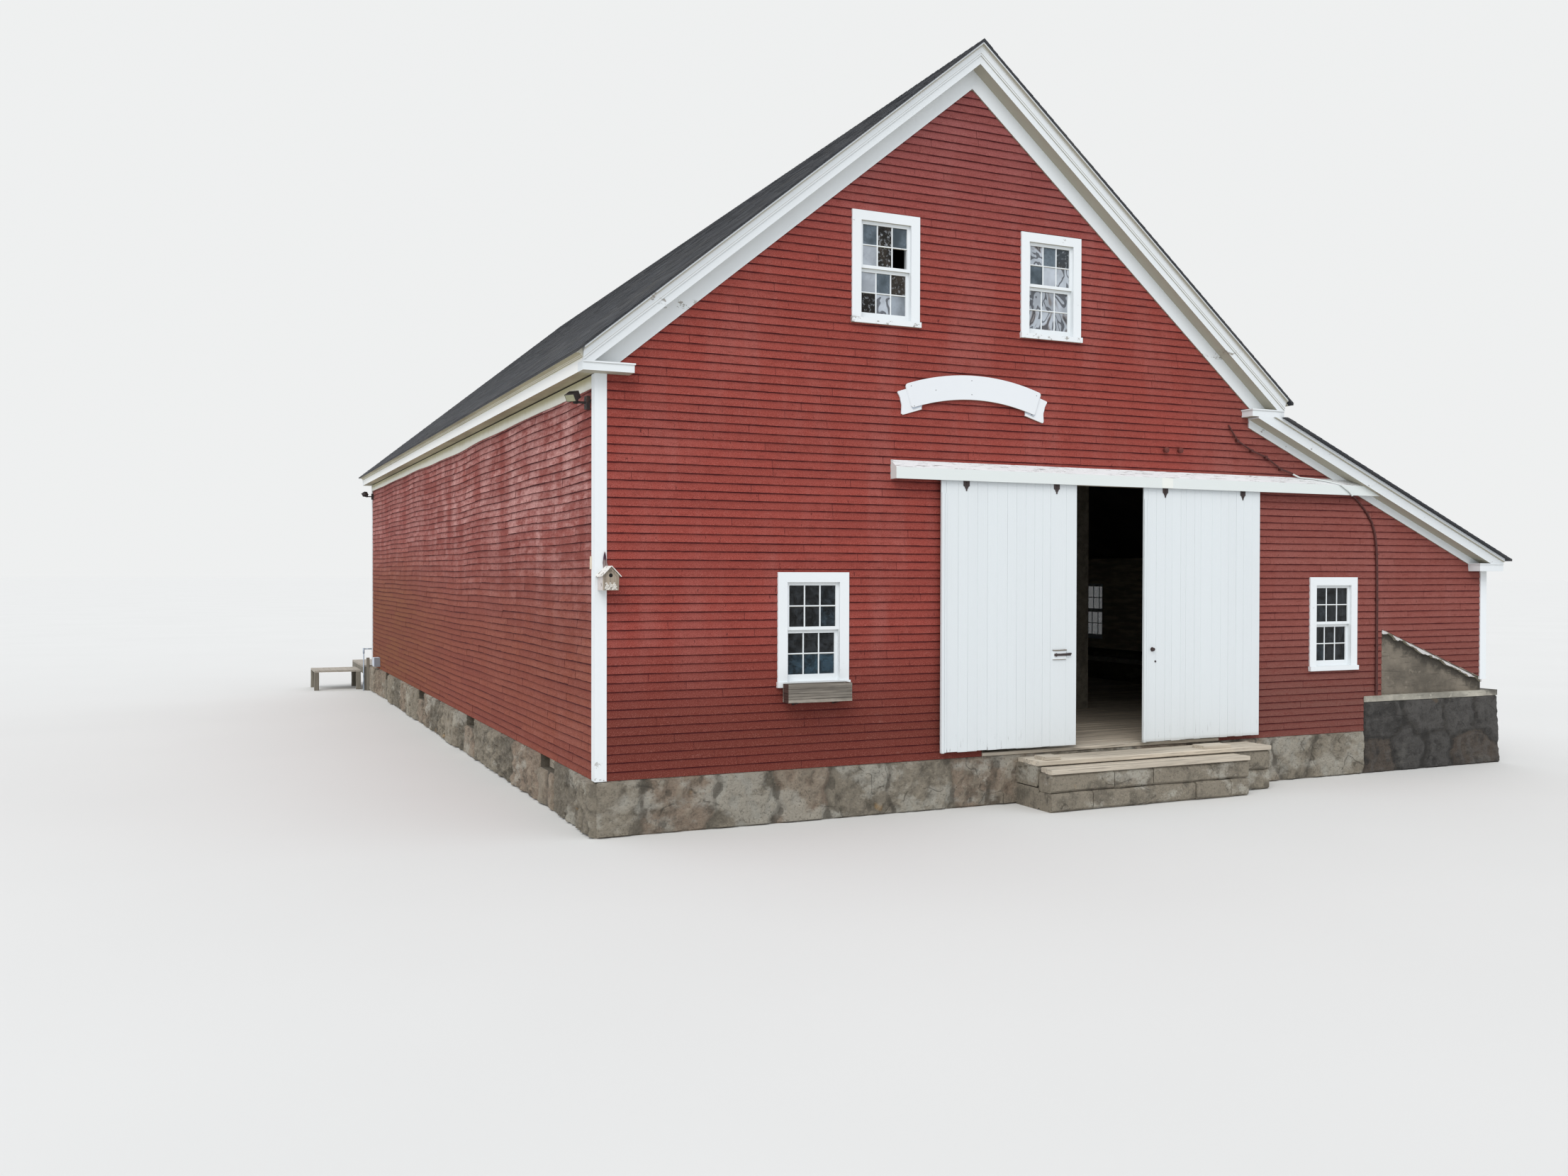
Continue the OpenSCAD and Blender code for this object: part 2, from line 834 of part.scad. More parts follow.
function lean_outline() = let (o = eave_over, c = lean_crown_out, d = lean_rake_depth, g = roof_seat)
    [[0, soffit_t - d], [o - fascia_t, soffit_t - d], [o - fascia_t, -roof_t - g],
     [o + g, -roof_t - g], [o + g, -shingle_t - g], [o + c, -shingle_t - g],
     [o + c, -shingle_t - lean_crown_h + 8],
     [o + c - 10, -shingle_t - lean_crown_h], [o, -shingle_t - lean_crown_h], [o, -d],
     [frieze_t, -d], [frieze_t, -d - lean_frieze_w], [0, -d - lean_frieze_w]];

module lean_rake() {
    xf = lean_x + lean_over;
    difference() {
        translate([lean_x, 0, lean_z(lean_x)])
            mirror([1, 0, 0])
                rotate([0, -lean_pitch, 0])
                    along_x(lean_outline(), -lean_over * 3, lean_w * 1.4);
        box([xf, -far / 2, 0], [far, far / 2, far]);
        box([-far, -far / 2, 0], [main_w - lean_frieze_in, far / 2, far]);
        box([-far, -far / 2, soffit_z], [far, far / 2, far]);
        box([lean_x - lean_return_len - return_cap_out, -far / 2, 0], [far, far / 2, lean_cap_z]);
    }
}

module lean_to_rakes() {
    color([0.84, 0.85, 0.85]) {
        lean_rake();
        rear()
            lean_rake();
    }
}

module lean_return_box() {
    xf = lean_x + lean_over;
    x0 = lean_x - lean_return_len;
    box([x0, -eave_over, lean_soffit_z], [xf, 0, lean_soffit_z + lean_return_h]);
    box([x0 - return_cap_out, -eave_over - return_cap_out, lean_soffit_z + lean_return_h],
        [xf, 0, lean_cap_z]);
}

module cornice_returns() {
    color([0.86, 0.87, 0.87]) {
        return_box();
        across()
            return_box();
        lean_return_box();
        rear() {
            return_box();
            across()
                return_box();
            lean_return_box();
        }
    }
}

module lean_eave_trim() {
    xf = lean_x + lean_over;
    g = roof_seat;
    s = (shingle_t + g) / cl;
    t = (roof_t + g) / cl;
    c = lean_crown_out;
    xb = xf - fascia_t;
    color([0.84, 0.85, 0.85])
        union() {
            difference() {
                along_y([[lean_x, lean_soffit_z], [xf, lean_soffit_z], [xf, lean_z(xf) - t],
                         [xb, lean_z(xb) - t], [xb, lean_soffit_z + soffit_t],
                         [lean_x, lean_soffit_z + soffit_t]],
                    fascia_t - eave_over, barn_len + eave_over - fascia_t);
                box([-far, -far / 2, 0], [far, 0, lean_cap_z]);
                rear()
                    box([-far, -far / 2, 0], [far, 0, lean_cap_z]);
            }
            along_y([[xf, lean_z(xf) - t], [xf + g, lean_z(xf) - t], [xf + g, lean_z(xf + g) - s],
                     [xf + c, lean_z(xf + c) - s],
                     [xf + c, lean_z(xf + c) - s - lean_crown_h + 10],
                     [xf + c - 8, lean_z(xf) - s - lean_crown_h],
                     [xf, lean_z(xf) - s - lean_crown_h]], -eave_over, barn_len + eave_over);
            box([lean_x, corner_w - corner_t, lean_soffit_z - frieze_joint - eave_frieze_w],
                [lean_x + frieze_t, barn_len - corner_w + corner_t, lean_soffit_z - frieze_joint]);
        }
}

module corner_pair(z0, z1) {
    box([-corner_t, -corner_t, z0], [corner_w - corner_t, 0, z1]);
    box([-corner_t, 0, z0], [0, corner_w - corner_t, z1]);
}

module corner_boards() {
    color([0.87, 0.89, 0.90])
        union() {
            corner_pair(0, soffit_z);
            rear()
                corner_pair(0, soffit_z);
            translate([lean_x, 0, 0])
                mirror([1, 0, 0])
                    corner_pair(cut_low, lean_soffit_z);
            rear()
                translate([lean_x, 0, 0])
                    mirror([1, 0, 0])
                        corner_pair(cut_low, lean_soffit_z);
        }
}

// Windows

module casing() {
    w = win_ow;
    z = win_sill_h;
    translate([-w / 2, 0, 0])
        union() {
            box([0, -casing_t, z], [casing_w, 0, z + win_h]);
            box([w - casing_w, -casing_t, z], [w, 0, z + win_h]);
            box([0, -casing_t, z + win_h], [w, 0, win_oh]);
            box([-win_sill_ear, -casing_t - win_sill_out, 0], [w + win_sill_ear, 0, z]);
            difference() {
                box([casing_w - jamb_t, 0, z - jamb_t],
                    [w - casing_w + jamb_t, wall_t, z + win_h + jamb_t]);
                box([casing_w, -e, z], [w - casing_w, wall_t + e, z + win_h]);
            }
        }
}

// A sash with its foot rail, from its own foot
module sash(foot, h, y) {
    translate([-win_w / 2, y, 0])
        difference() {
            cube([win_w, sash_t, h]);
            box([sash_w, -e, foot], [win_w - sash_w, sash_t + e, h - sash_w]);
        }
}

// One window's pair of sashes, the upper one in front of the lower one
module sash_frames() {
    translate([0, 0, win_sill_h])
        sash(sash_foot, pane_h + sash_w + sash_foot, sash_in + sash_t);
    translate([0, 0, win_sill_h + win_h - pane_h - 2 * sash_w])
        sash(sash_w, pane_h + 2 * sash_w, sash_in);
}

module panes() {
    for (k = [0, 1])
        translate([sash_w - win_w / 2, sash_in + (1 - k) * sash_t + (sash_t - glass_t) / 2,
                   win_sill_h + (k == 1 ? win_h - pane_h - sash_w : sash_foot)])
            cube([win_w - 2 * sash_w, glass_t, pane_h]);
}

// Every window: four in front, three behind, three along the lean-to
module each_window() {
    translate([low_win_x, 0, low_win_z])
        children();
    for (s = [-1, 1])
        translate([mid + s * up_win_off, 0, soffit_z + up_win_rise])
            children();
    translate([main_w + lean_win_in, 0, lean_win_z])
        children();
    rear() {
        for (s = [-1, 1])
            translate([mid + s * up_win_off, 0, soffit_z + up_win_rise])
                children();
        translate([main_w + lean_win_in, 0, lean_win_z])
            children();
    }
    side_windows()
        translate([0, 0, side_win_z])
            children();
}

module window_casings() {
    color([0.86, 0.88, 0.88])
        each_window()
            casing();
}

module window_sashes() {
    color([0.84, 0.86, 0.86])
        each_window()
            sash_frames();
}

module window_glass() {
    color([0.30, 0.34, 0.38])
        each_window()
            panes();
}

// Sliding doors, track and hood

module leaf(x, foot) {
    union() {
        box([x, -door_gap - door_t, foot], [x + door_w, -door_gap, door_top]);
        box([x, -door_gap - door_t - batten_t, foot], [x + batten_w, -door_gap - door_t, strap_z - 20]);
    }
}

module door_left() {
    color([0.80, 0.84, 0.85])
        leaf(door_left_x, door_foot_left);
}

module door_right() {
    color([0.80, 0.84, 0.85])
        leaf(door_right_x, door_foot_right);
}

// Strap with a pointed foot and small shoulders, and its axle pin
module strap(x) {
    y = door_face;
    zc = rail_z + rail_h + roller_r + roller_gap;
    h = strap_w / 2;
    union() {
        translate([x, y, 0])
            rotate([90, 0, 0])
                linear_extrude(strap_t)
                    polygon([[-h * 0.16, strap_z], [h * 0.16, strap_z], [h * 0.24, strap_z + 26],
                             [h * 0.52, strap_z + 40], [h * 0.56, strap_z + 54], [h, strap_z + 64],
                             [h, strap_z + 138], [h * 0.6, strap_z + 150], [h * 0.6, zc + 20],
                             [-h * 0.6, zc + 20], [-h * 0.6, strap_z + 150], [-h, strap_z + 138],
                             [-h, strap_z + 64], [-h * 0.56, strap_z + 54], [-h * 0.52, strap_z + 40],
                             [-h * 0.24, strap_z + 26]]);
        translate([x, y, zc])
            rotate([-90, 0, 0])
                cylinder(r = 7, h = door_t / 2 - roller_w / 2, $fn = 24);
    }
}

module roller(x) {
    translate([x, rail_y - roller_w / 2, rail_z + rail_h + roller_r + roller_gap])
        rotate([-90, 0, 0])
            cylinder(r = roller_r, h = roller_w, $fn = 48);
}

module left_door_irons() {
    color([0.28, 0.25, 0.24]) {
        strap(door_left_x + hanger_in);
        strap(door_left_x + door_w - hanger_in2);
        door_latch();
    }
}

module right_door_irons() {
    color([0.28, 0.25, 0.24]) {
        strap(door_right_x + hanger_in);
        strap(door_right_x + door_w - hanger_in2);
        door_pull();
    }
}

module left_rollers() {
    color([0.24, 0.23, 0.23])
        union() {
            roller(door_left_x + hanger_in);
            roller(door_left_x + door_w - hanger_in2);
        }
}

module right_rollers() {
    color([0.24, 0.23, 0.23])
        union() {
            roller(door_right_x + hanger_in);
            roller(door_right_x + door_w - hanger_in2);
        }
}

// Flat rail on spacer blocks that stand out from the wall
module door_track() {
    n = rail_blocks;
    color([0.30, 0.28, 0.27])
        union() {
            box([rail_x0, rail_y - rail_t / 2, rail_z], [rail_x1, rail_y + rail_t / 2, rail_z + rail_h]);
            for (k = [0:n - 1])
                translate([rail_x0 + 40 + k * (rail_x1 - rail_x0 - 120) / (n - 1), rail_y + rail_t / 2,
                           rail_z + 5])
                    cube([40, -rail_y - rail_t / 2, rail_h - 15]);
        }
}

module above_lean_rake() {
    zs = (lean_rake_depth + hood_fit) / cl;
    zf = (lean_rake_depth + lean_frieze_w + hood_fit) / cl;
    x1 = lean_x;
    along_y([[main_w, lean_z(main_w) - zs], [x1, lean_z(x1) - zs], [x1, far], [main_w, far]],
        -2 * eave_over, e);
    along_y([[main_w, lean_z(main_w) - zf], [x1, lean_z(x1) - zf], [x1, far], [main_w, far]],
        -frieze_t - hood_fit, e);
}

module track_hood() {
    z1 = hood_z + hood_h;
    z2 = z1 + hood_rise;
    k = hood_rise / hood_out;
    color([0.85, 0.86, 0.86])
        difference() {
            union() {
                along_x([[hood_out, hood_z], [hood_out, z1], [0, z2], [0, z2 - hood_t * 1.2],
                         [hood_out - hood_t, z1 + hood_t * k - hood_t * 1.2],
                         [hood_out - hood_t, hood_z]], hood_x0, lean_x);
                along_x([[0, hood_z], [hood_out, hood_z], [hood_out, z1], [0, z2]],
                    hood_x0, hood_x0 + hood_t);
            }
            above_lean_rake();
        }
}

// Thin plate, hasp bar and staple plate
module door_latch() {
    x = door_left_x + door_w - latch_in;
    y = door_face;
    mid_z = latch_z + latch_plate / 2;
    union() {
        box([x, y - 6, latch_z], [x + latch_plate, y, latch_z + latch_plate]);
        box([x + 20, y - 20, mid_z - 15], [x + 20 + latch_len, y - 6, mid_z + 15]);
        box([x + latch_len - 40, y - 6, mid_z - 37], [x + latch_len + 20, y, mid_z + 37]);
    }
}

// Turned knob on a round rose
module door_pull() {
    translate([door_right_x + knob_in, door_face, knob_z])
        rotate([90, 0, 0])
            rotate_extrude($fn = 32)
                polygon([[0, 0], [30, 0], [30, 3], [26, 6], [12, 7], [10, 20], [17, 24],
                         [24, 30], [24, 36], [18, 41], [0, 43]]);
}

// Entry

module entry_planks() {
    yf = -door_gap - plank_w;
    zt = -plank_drop;
    yb = yf + 40;
    color([0.55, 0.51, 0.44])
        union() {
            box([doorway_x, -corner_t, 0], [doorway_x + doorway_w, wall_t, floor_t]);
            box([plank_x, yf, zt - plank_t], [plank_x + plank_len, -door_gap, zt]);
            box([plank_x, yf - plank2_w, -plank2_drop - plank_t], [plank_x + plank2_len, yf, -plank2_drop]);
            box([plank_x + block_left_in, yb, zt],
                [plank_x + block_left_in + block_left, yb + block_w, zt + block_t]);
            box([plank_x + plank_len - block_right_in - block_right, yb, zt],
                [plank_x + plank_len - block_right_in, yb + block_w, zt + block_t]);
        }
}

module step_base() {
    z = -ground_drop;
    color([0.50, 0.48, 0.44])
        union() {
            box([plank_x, -door_gap - plank_w, z], [plank_x + plank_len, 0, -plank_drop - plank_t]);
            box([plank_x, -door_gap - plank_w - plank2_w, z],
                [plank_x + plank2_len, -door_gap - plank_w, -plank2_drop - plank_t]);
        }
}

// Small things on the walls

// Planter of boards on two iron brackets
module window_box() {
    y = -casing_t - win_sill_out - e;
    x = low_win_x - box_len / 2;
    z = low_win_z + win_sill_h - box_drop - box_h;
    color([0.52, 0.50, 0.46])
        union() {
            difference() {
                box([x, y - box_d, z], [x + box_len, y, z + box_h]);
                box([x + box_t, y - box_d + box_t, z + box_t],
                    [x + box_len - box_t, y - box_t, z + box_h + e]);
            }
            for (s = [0.18, 0.82])
                translate([x + s * box_len, 0, 0])
                    along_x([[0, z - bracket_h], [box_t, z - bracket_h], [box_d * 0.7 - y, z - box_t],
                             [box_d * 0.7 - y, z], [-y, z], [-y, z + box_h * 0.6], [0, z + box_h * 0.6]],
                        -15, 15);
        }
}

// One swallow tail of the banner, to the right of its centre
module banner_tail() {
    x0 = banner_half - tail_in;
    x1 = banner_half + tail_out;
    z = -tail_drop;
    polygon([[x0, z + tail_h * 0.12], [x0 + tail_in * 0.9, z + 40], [x1 - 30, z + 17], [x1, z],
             [x1 - tail_notch, z - tail_h * 0.43], [x1 - tail_notch * 0.85, z - tail_h + 16],
             [x1 - tail_notch - 16, z - tail_h], [x0, z - tail_h * 0.72]]);
}

// Bare arched ribbon with two swallow tails behind it, on cleats
module banner_sign() {
    r = banner_r;
    a = asin(banner_half / r);
    color([0.86, 0.88, 0.89])
        translate([mid + banner_off, 0, soffit_z + banner_rise])
            rotate([90, 0, 0])
                union() {
                    translate([0, 0, cleat_t])
                        linear_extrude(banner_t)
                            polygon(concat(
                                [for (k = [-8:8]) [r * sin(a * k / 8), r * cos(a * k / 8) - r]],
                                [for (k = [8:-1:-8]) let (q = r - banner_h)
                                    [q * sin(a * k / 8), q * cos(a * k / 8) - r]]));
                    for (s = [0, 1])
                        mirror([s, 0, 0]) {
                            translate([0, 0, cleat_t - banner_t])
                                linear_extrude(banner_t)
                                    banner_tail();
                            translate([banner_half * 0.55, -banner_h * 0.9, 0])
                                cube([50, banner_h * 0.6, cleat_t]);
                            translate([banner_half - 25, -tail_drop - tail_h * 0.7, 0])
                                cube([50, tail_h * 0.4, cleat_t - banner_t]);
                        }
                }
}

// Gabled box with a round entrance, in front of a pointed back board
module birdhouse() {
    w = bird_w;
    h = bird_h;
    o = bird_over;
    k = bird_rise / (w / 2);
    color([0.62, 0.60, 0.56])
        translate([bird_x, -corner_t, bird_z])
            rotate([90, 0, 0])
                difference() {
                    union() {
                        linear_extrude(bird_d)
                            polygon([[0, 0], [w, 0], [w, h], [w / 2, h + bird_rise], [0, h]]);
                        linear_extrude(bird_d + o)
                            polygon([[-o, h - k * o], [w / 2, h + bird_rise], [w + o, h - k * o],
                                     [w + o, h - k * o + bird_roof_t], [w / 2, h + bird_rise + bird_roof_t],
                                     [-o, h - k * o + bird_roof_t]]);
                        linear_extrude(bird_roof_t)
                            polygon([[w / 2 - 38, h], [w / 2 + 38, h], [w / 2 + 8, h + bird_spike],
                                     [w / 2 - 8, h + bird_spike]]);
                    }
                    translate([w / 2, h - 4, bird_d - 40])
                        cylinder(r = bird_hole_r, h = 41, $fn = 32);
                }
}

// Finned flood lamp head on a knuckle and a wall box
module lamp() {
    z = soffit_z - lamp_drop;
    b = lamp_box / 2;
    h = lamp_h / 2;
    color([0.20, 0.18, 0.17])
        union() {
            box([-60, lamp_in - b, z - 75], [0, lamp_in + b, z + 75]);
            translate([-lamp_reach, lamp_in, z])
                rotate([0, 90, 0])
                    cylinder(r = 14, h = lamp_reach - 60, $fn = 24);
            translate([-lamp_reach, lamp_in, z])
                rotate([0, 0, lamp_turn]) {
                    translate([-20, -22, -18])
                        cube([42, 44, 70]);
                    translate([-50, lamp_w / 2, 62])
                        rotate([90, -lamp_tilt, 0])
                            linear_extrude(lamp_w)
                                polygon([[-52, -h], [-40, -h], [-40, -h + 6], [48, -h * 0.6],
                                         [48, h * 0.6], [-40, h - 6], [-40, h], [-52, h]]);
                }
        }
}

module flood_lamps() {
    lamp();
    rear()
        lamp();
}

module rod(a, b, r) {
    d = b - a;
    l = norm(d);
    translate(a)
        rotate([0, acos(d[2] / l), atan2(d[1], d[0])])
            cylinder(r = r, h = l, $fn = 16);
}

// Bends of the conduit: distance past the main wall line, drop below the lean-to roof line
conduit = [[-660, 492], [-486, 634], [-216, 652], [56, 619], [346, 662], [580, 622]];

module electric_service() {
    y = -frieze_t - pipe_r;
    m = barn_len - meter_in;
    b = pipe_r + 8;
    pts = [for (p = conduit) [main_w + p[0], y, lean_z(main_w + p[0]) - p[1]]];
    color([0.50, 0.24, 0.22]) {
        union() {
            for (k = [0:len(pts) - 2])
                rod(pts[k], pts[k + 1], pipe_r);
            for (k = [1:len(pts) - 2])
                translate([pts[k][0] - b, y - pipe_r - 2, pts[k][2] - b])
                    cube([2 * b, pipe_r - y + 2, 2 * b]);
        }
        box([-meter_d, m - meter_w, meter_z], [0, m, meter_z + meter_h]);
    }
}

// Rear

module rear_door() {
    color([0.50, 0.24, 0.22])
        rear()
            box([rear_door_x, 30, floor_t], [rear_door_x + rear_door_w, 75, floor_t + rear_door_h]);
}

// Plank landing on legs, with a lower board ramp at its left
module rear_landing() {
    y0 = barn_len;
    y1 = barn_len + land_y;
    x0 = -land_out;
    z1 = -land_t - ramp_drop;
    rail_y1 = y0 + corner_t / 2;
    color([0.52, 0.49, 0.43])
        union() {
            box([x0, y0, -land_t], [land_x, y1, 0]);
            box([x0, y0, -land_t - side_board_h], [x0 + 40, y1, -land_t]);
            box([x0 - ramp_len, y0 + ramp_y, z1 - land_t], [x0, y0 + ramp_y + ramp_w, z1]);
            for (x = [x0 + 40, land_x - leg_w], y = [y0, y1 - leg_w])
                box([x, y, -ground_drop], [x + leg_w, y + leg_w, -land_t]);
            for (x = [x0 - ramp_len, x0 - leg_w], y = [y0 + ramp_y, y0 + ramp_y + ramp_w - leg_w])
                box([x, y, -ground_drop], [x + leg_w, y + leg_w, z1 - land_t]);
            translate([x0 + 60, y0 + 20, 0])
                cylinder(r = 20, h = rail_top, $fn = 24);
            rod([x0 + 60, rail_y1, rail_top - 20], [-corner_t, rail_y1, rail_top - 20], corner_t / 2);
        }
}

// List of pieces

place() foundation_left();
place() foundation_ends();
place() foundation_right();
place() foundation_ledge();
place() cellar_vent_panels();
place() parged_wall();
place() plank_floor();
place() arcade_frame();
place() front_wall_left();
place() front_gable();
place() front_wall_right();
place() left_wall();
place() right_wall();
place() rear_wall();
place() main_roof_left();
place() main_roof_right();
place() ridge_cap();
place() lean_to_roof();
place() main_rake_cornices();
place() left_eave_trim();
place() right_eave_trim();
place() cornice_returns();
place() lean_to_rakes();
place() lean_eave_trim();
place() corner_boards();
place() window_casings();
place() window_sashes();
place() window_glass();
place() door_left();
place() door_right();
place() left_door_irons();
place() right_door_irons();
place() left_rollers();
place() right_rollers();
place() door_track();
place() track_hood();
place() entry_planks();
place() step_base();
place() window_box();
place() banner_sign();
place() birdhouse();
place() flood_lamps();
place() electric_service();
place() rear_door();
place() rear_landing();
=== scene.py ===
"""Dressed model of a red clapboard barn with a lean-to, sliding doors and a field stone base.

Every piece is worked out in the building's own frame, in metres: X right along the
front sheathing, Y back, Z up from the sill line.  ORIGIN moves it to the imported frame.
"""

import math

import bpy
import numpy as np
from bpy.props import FloatProperty, FloatVectorProperty, PointerProperty
from bpy.types import Operator, Panel, PropertyGroup
from mathutils import Matrix, Vector


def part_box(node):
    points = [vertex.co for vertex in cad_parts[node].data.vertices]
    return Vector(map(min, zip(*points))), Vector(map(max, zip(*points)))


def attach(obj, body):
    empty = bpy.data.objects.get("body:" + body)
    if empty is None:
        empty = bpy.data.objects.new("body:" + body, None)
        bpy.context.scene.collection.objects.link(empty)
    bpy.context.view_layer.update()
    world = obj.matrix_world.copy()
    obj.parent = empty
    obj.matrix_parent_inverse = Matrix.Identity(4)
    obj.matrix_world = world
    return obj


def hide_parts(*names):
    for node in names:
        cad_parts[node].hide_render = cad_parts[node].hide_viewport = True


bl_info = {
    "name": "Red Barn Builder",
    "version": (1, 0, 0),
    "blender": (4, 5, 0),
    "location": "3D View > Sidebar > Barn",
    "description": "Clads and finishes a packed timber barn",
    "category": "Add Mesh",
}

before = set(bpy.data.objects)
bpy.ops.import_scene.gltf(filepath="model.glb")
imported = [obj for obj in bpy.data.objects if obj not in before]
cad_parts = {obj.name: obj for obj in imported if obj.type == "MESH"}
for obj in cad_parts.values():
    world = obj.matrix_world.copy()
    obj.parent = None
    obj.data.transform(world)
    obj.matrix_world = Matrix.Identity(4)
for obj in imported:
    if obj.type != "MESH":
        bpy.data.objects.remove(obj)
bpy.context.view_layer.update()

_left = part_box("foundation_left")
ORIGIN = np.array([_left[0].x, _left[0].y, _left[1].z])

# Sizes of the building in its own frame
LENGTH, WIDTH = 20.56, 9.98  # main building between sheathing faces
LEAN_X = 14.74  # sheathing face of the lean-to's long wall
MID = WIDTH / 2
SOFFIT, LEAN_SOFFIT = 4.65, 2.445  # undersides of the long eaves
EAVE, LEAN_EAVE = 0.22, 0.16  # how far the soffits reach past the walls
EDGE = 0.31  # how far the shingles reach past the walls
WALL = 0.15  # thickness of the walls
BASE = 0.65  # how far the foundation goes down below the sill line
PITCH, LEAN_PITCH = math.radians(39.2), math.radians(22.8)
ROOF_DEPTH, LEAN_DEPTH = 0.218, 0.205  # from the eave line up to the roof's face, square to it
RAKE_DROP, LEAN_DROP = 0.196, 0.11  # from the eave line down to the foot of the rake frieze
RAKE_LAP, LEAN_LAP = 0.02, 0.04  # how far boards run in under the rakes
CORNER = 0.085  # where boards stop under the corner boards
TOP_GAP = 0.03  # how far boards stop below a long soffit
CASING_LAP = 0.03  # how far boards run in under a window casing
DOORWAY = (5.18, 9.18, 3.59)  # left side, right side and head
REAR_DOORWAY = (0.32, 1.27, 2.10)
CUT_X, CUT_HIGH, CUT_LOW = 12.445, 1.546, 0.710  # slanting lower edge of the front right boards
LEAN_HEAD = 9.76  # where the boards over the lean-to end at its head
STEP_X, LEDGE_Z = 12.07, 0.529  # where the low foundation ends, and the top of the high one
HIGH_WALL = 1.089  # height of the stones under the lean-to
HIGH_OUT, BATTER = 0.29, 0.09  # how far their top stands out, and their foot past it
VENTS = [1.862 + LENGTH / 4 * k for k in range(4)]  # front ends of the cellar openings
VENT_W, VENT_SILL = 0.75, -0.185
DOOR_FACE = -0.105
WINDOW_W, WINDOW_H = 0.966, 1.399
SASH_W, PANE_H = 0.712, 0.505
FRONT_WINDOWS = [(2.736, 0.998), (MID - 1.255, 5.50), (MID + 1.255, 5.50), (11.42, 0.945)]
REAR_WINDOWS = FRONT_WINDOWS[1:]
SIDE_WINDOWS = [(3.60, 0.87), (9.80, 0.87), (16.00, 0.87)]

# Points of a board's section with cut corners, and the way each is moved to cut them
CORNERS = np.array([[0, 0], [0, 0], [1, 0], [1, 0], [1, 1], [1, 1], [0, 1], [0, 1]], float)
INSETS = np.array([[0, 1], [1, 0], [-1, 0], [0, 1], [0, -1], [-1, 0], [1, 0], [0, -1]], float)


def srgb(r, g, b):
    """Linear colour of an 8-bit screen colour."""
    c = np.array([r, g, b]) / 255.0
    return tuple(np.where(c <= 0.04045, c / 12.92, ((c + 0.055) / 1.055) ** 2.4))


def roof_top(x):
    """Height of the main roof's upper face over x: it climbs at the pitch from both eaves."""
    return (SOFFIT + ROOF_DEPTH / math.cos(PITCH)
            + math.tan(PITCH) * (EAVE + np.minimum(x, WIDTH - x)))


def lean_top(x):
    """Height of the lean-to roof's upper face over x: it climbs to the left from its eave."""
    return (LEAN_SOFFIT + LEAN_DEPTH / math.cos(LEAN_PITCH)
            + math.tan(LEAN_PITCH) * (LEAN_X + LEAN_EAVE - x))


# Sizes and colours that a user may change


def metres(name, text, value):
    """A length that a user may change."""
    return FloatProperty(name=name, description=text, default=value, min=0.0, unit="LENGTH",
                         subtype="DISTANCE", precision=4)


def colour(name, text, r, g, b):
    """A colour that a user may change, from its 8-bit screen values."""
    return FloatVectorProperty(name=name, description=text, default=srgb(r, g, b), size=3,
                               min=0.0, max=1.0, subtype="COLOR")


class BarnSizes(PropertyGroup):
    """Sizes of the boards, shingles and stones."""

    exposure: metres("Clapboard exposure", "Height of each clapboard course that shows", 0.1016)
    butt: metres("Clapboard butt", "How far a clapboard's lower edge stands out", 0.015)
    side_sag: metres("Side wall sag", "Depth of the dip in the courses of the left wall", 0.036)
    front_sag: metres("Front sag", "Waviness of the courses on the gable walls", 0.003)
    shingle: metres("Shingle exposure", "Length of each shingle course that shows", 0.14)
    tab: metres("Shingle tab", "Width of one shingle tab", 0.33)
    stone_w: metres("Stone width", "Usual width of a field stone", 0.82)
    stone_h: metres("Stone height", "Usual height of a field stone", 0.46)
    floor_board: metres("Floor board", "Width of a floor board", 0.24)
    muntin: metres("Window bar", "Width of a window bar", 0.018)


class BarnColours(PropertyGroup):
    """Colours of the finishes."""

    red: colour("Red paint", "Barn red on the gable walls", 150, 68, 60)
    chalk: colour("Chalked red", "Chalky patches high on the side wall", 218, 172, 167)
    side: colour("Side red", "Purplish red between the chalky patches", 148, 77, 70)
    rust: colour("Low red", "Browner red near the ground", 131, 72, 49)
    # line is the colour of the painted shadow under each clapboard butt; a darker share of it also
    # colours cracks.
    line: colour("Course line", "Dark line under each clapboard", 74, 26, 29)
    white: colour("Trim paint", "White paint on trim", 228, 233, 236)
    door: colour("Door paint", "Cool white paint on the sliding doors", 219, 225, 228)
    # stain_and_shade colours faces that look down: partly stain, partly painted shade.
    stain_and_shade: colour("Soffit stain", "Stained paint under the eaves", 146, 138, 110)
    shingle: colour("Shingles", "Mineral shingles", 61, 63, 68)
    stone: colour("Stone", "Field stone", 138, 130, 116)
    warm: colour("Warm stone", "Pinkish brown field stones", 144, 126, 110)
    mortar: colour("Mortar", "Lime and dirt between the stones", 104, 97, 86)
    lime: colour("Lime wash", "Pale lime left on the stones", 178, 175, 165)
    dark_stone: colour("Dark stone", "Damp stone under the lean-to", 74, 72, 70)
    timber: colour("Weathered timber", "Bare grey boards", 172, 164, 148)
    slat: colour("Grey slats", "Darker weathered wood of the window box", 148, 141, 131)
    iron: colour("Iron", "Dark painted iron", 60, 50, 50)
    # sky, glass and pool are painted light in the panes: sky a painted reflection, glass the
    # painted shade of the dark room behind, pool that shade with a painted blue sheen.
    sky: colour("Sky in glass", "Pale panes", 210, 218, 228)
    glass: colour("Glass", "Dark panes", 28, 30, 32)
    pool: colour("Blue glass", "Bluish dark panes", 52, 74, 88)


def sizes():
    """The sizes held by the scene."""
    return bpy.context.scene.barn_sizes


def tones():
    """The colours held by the scene."""
    return bpy.context.scene.barn_colours


# Meshes from arrays


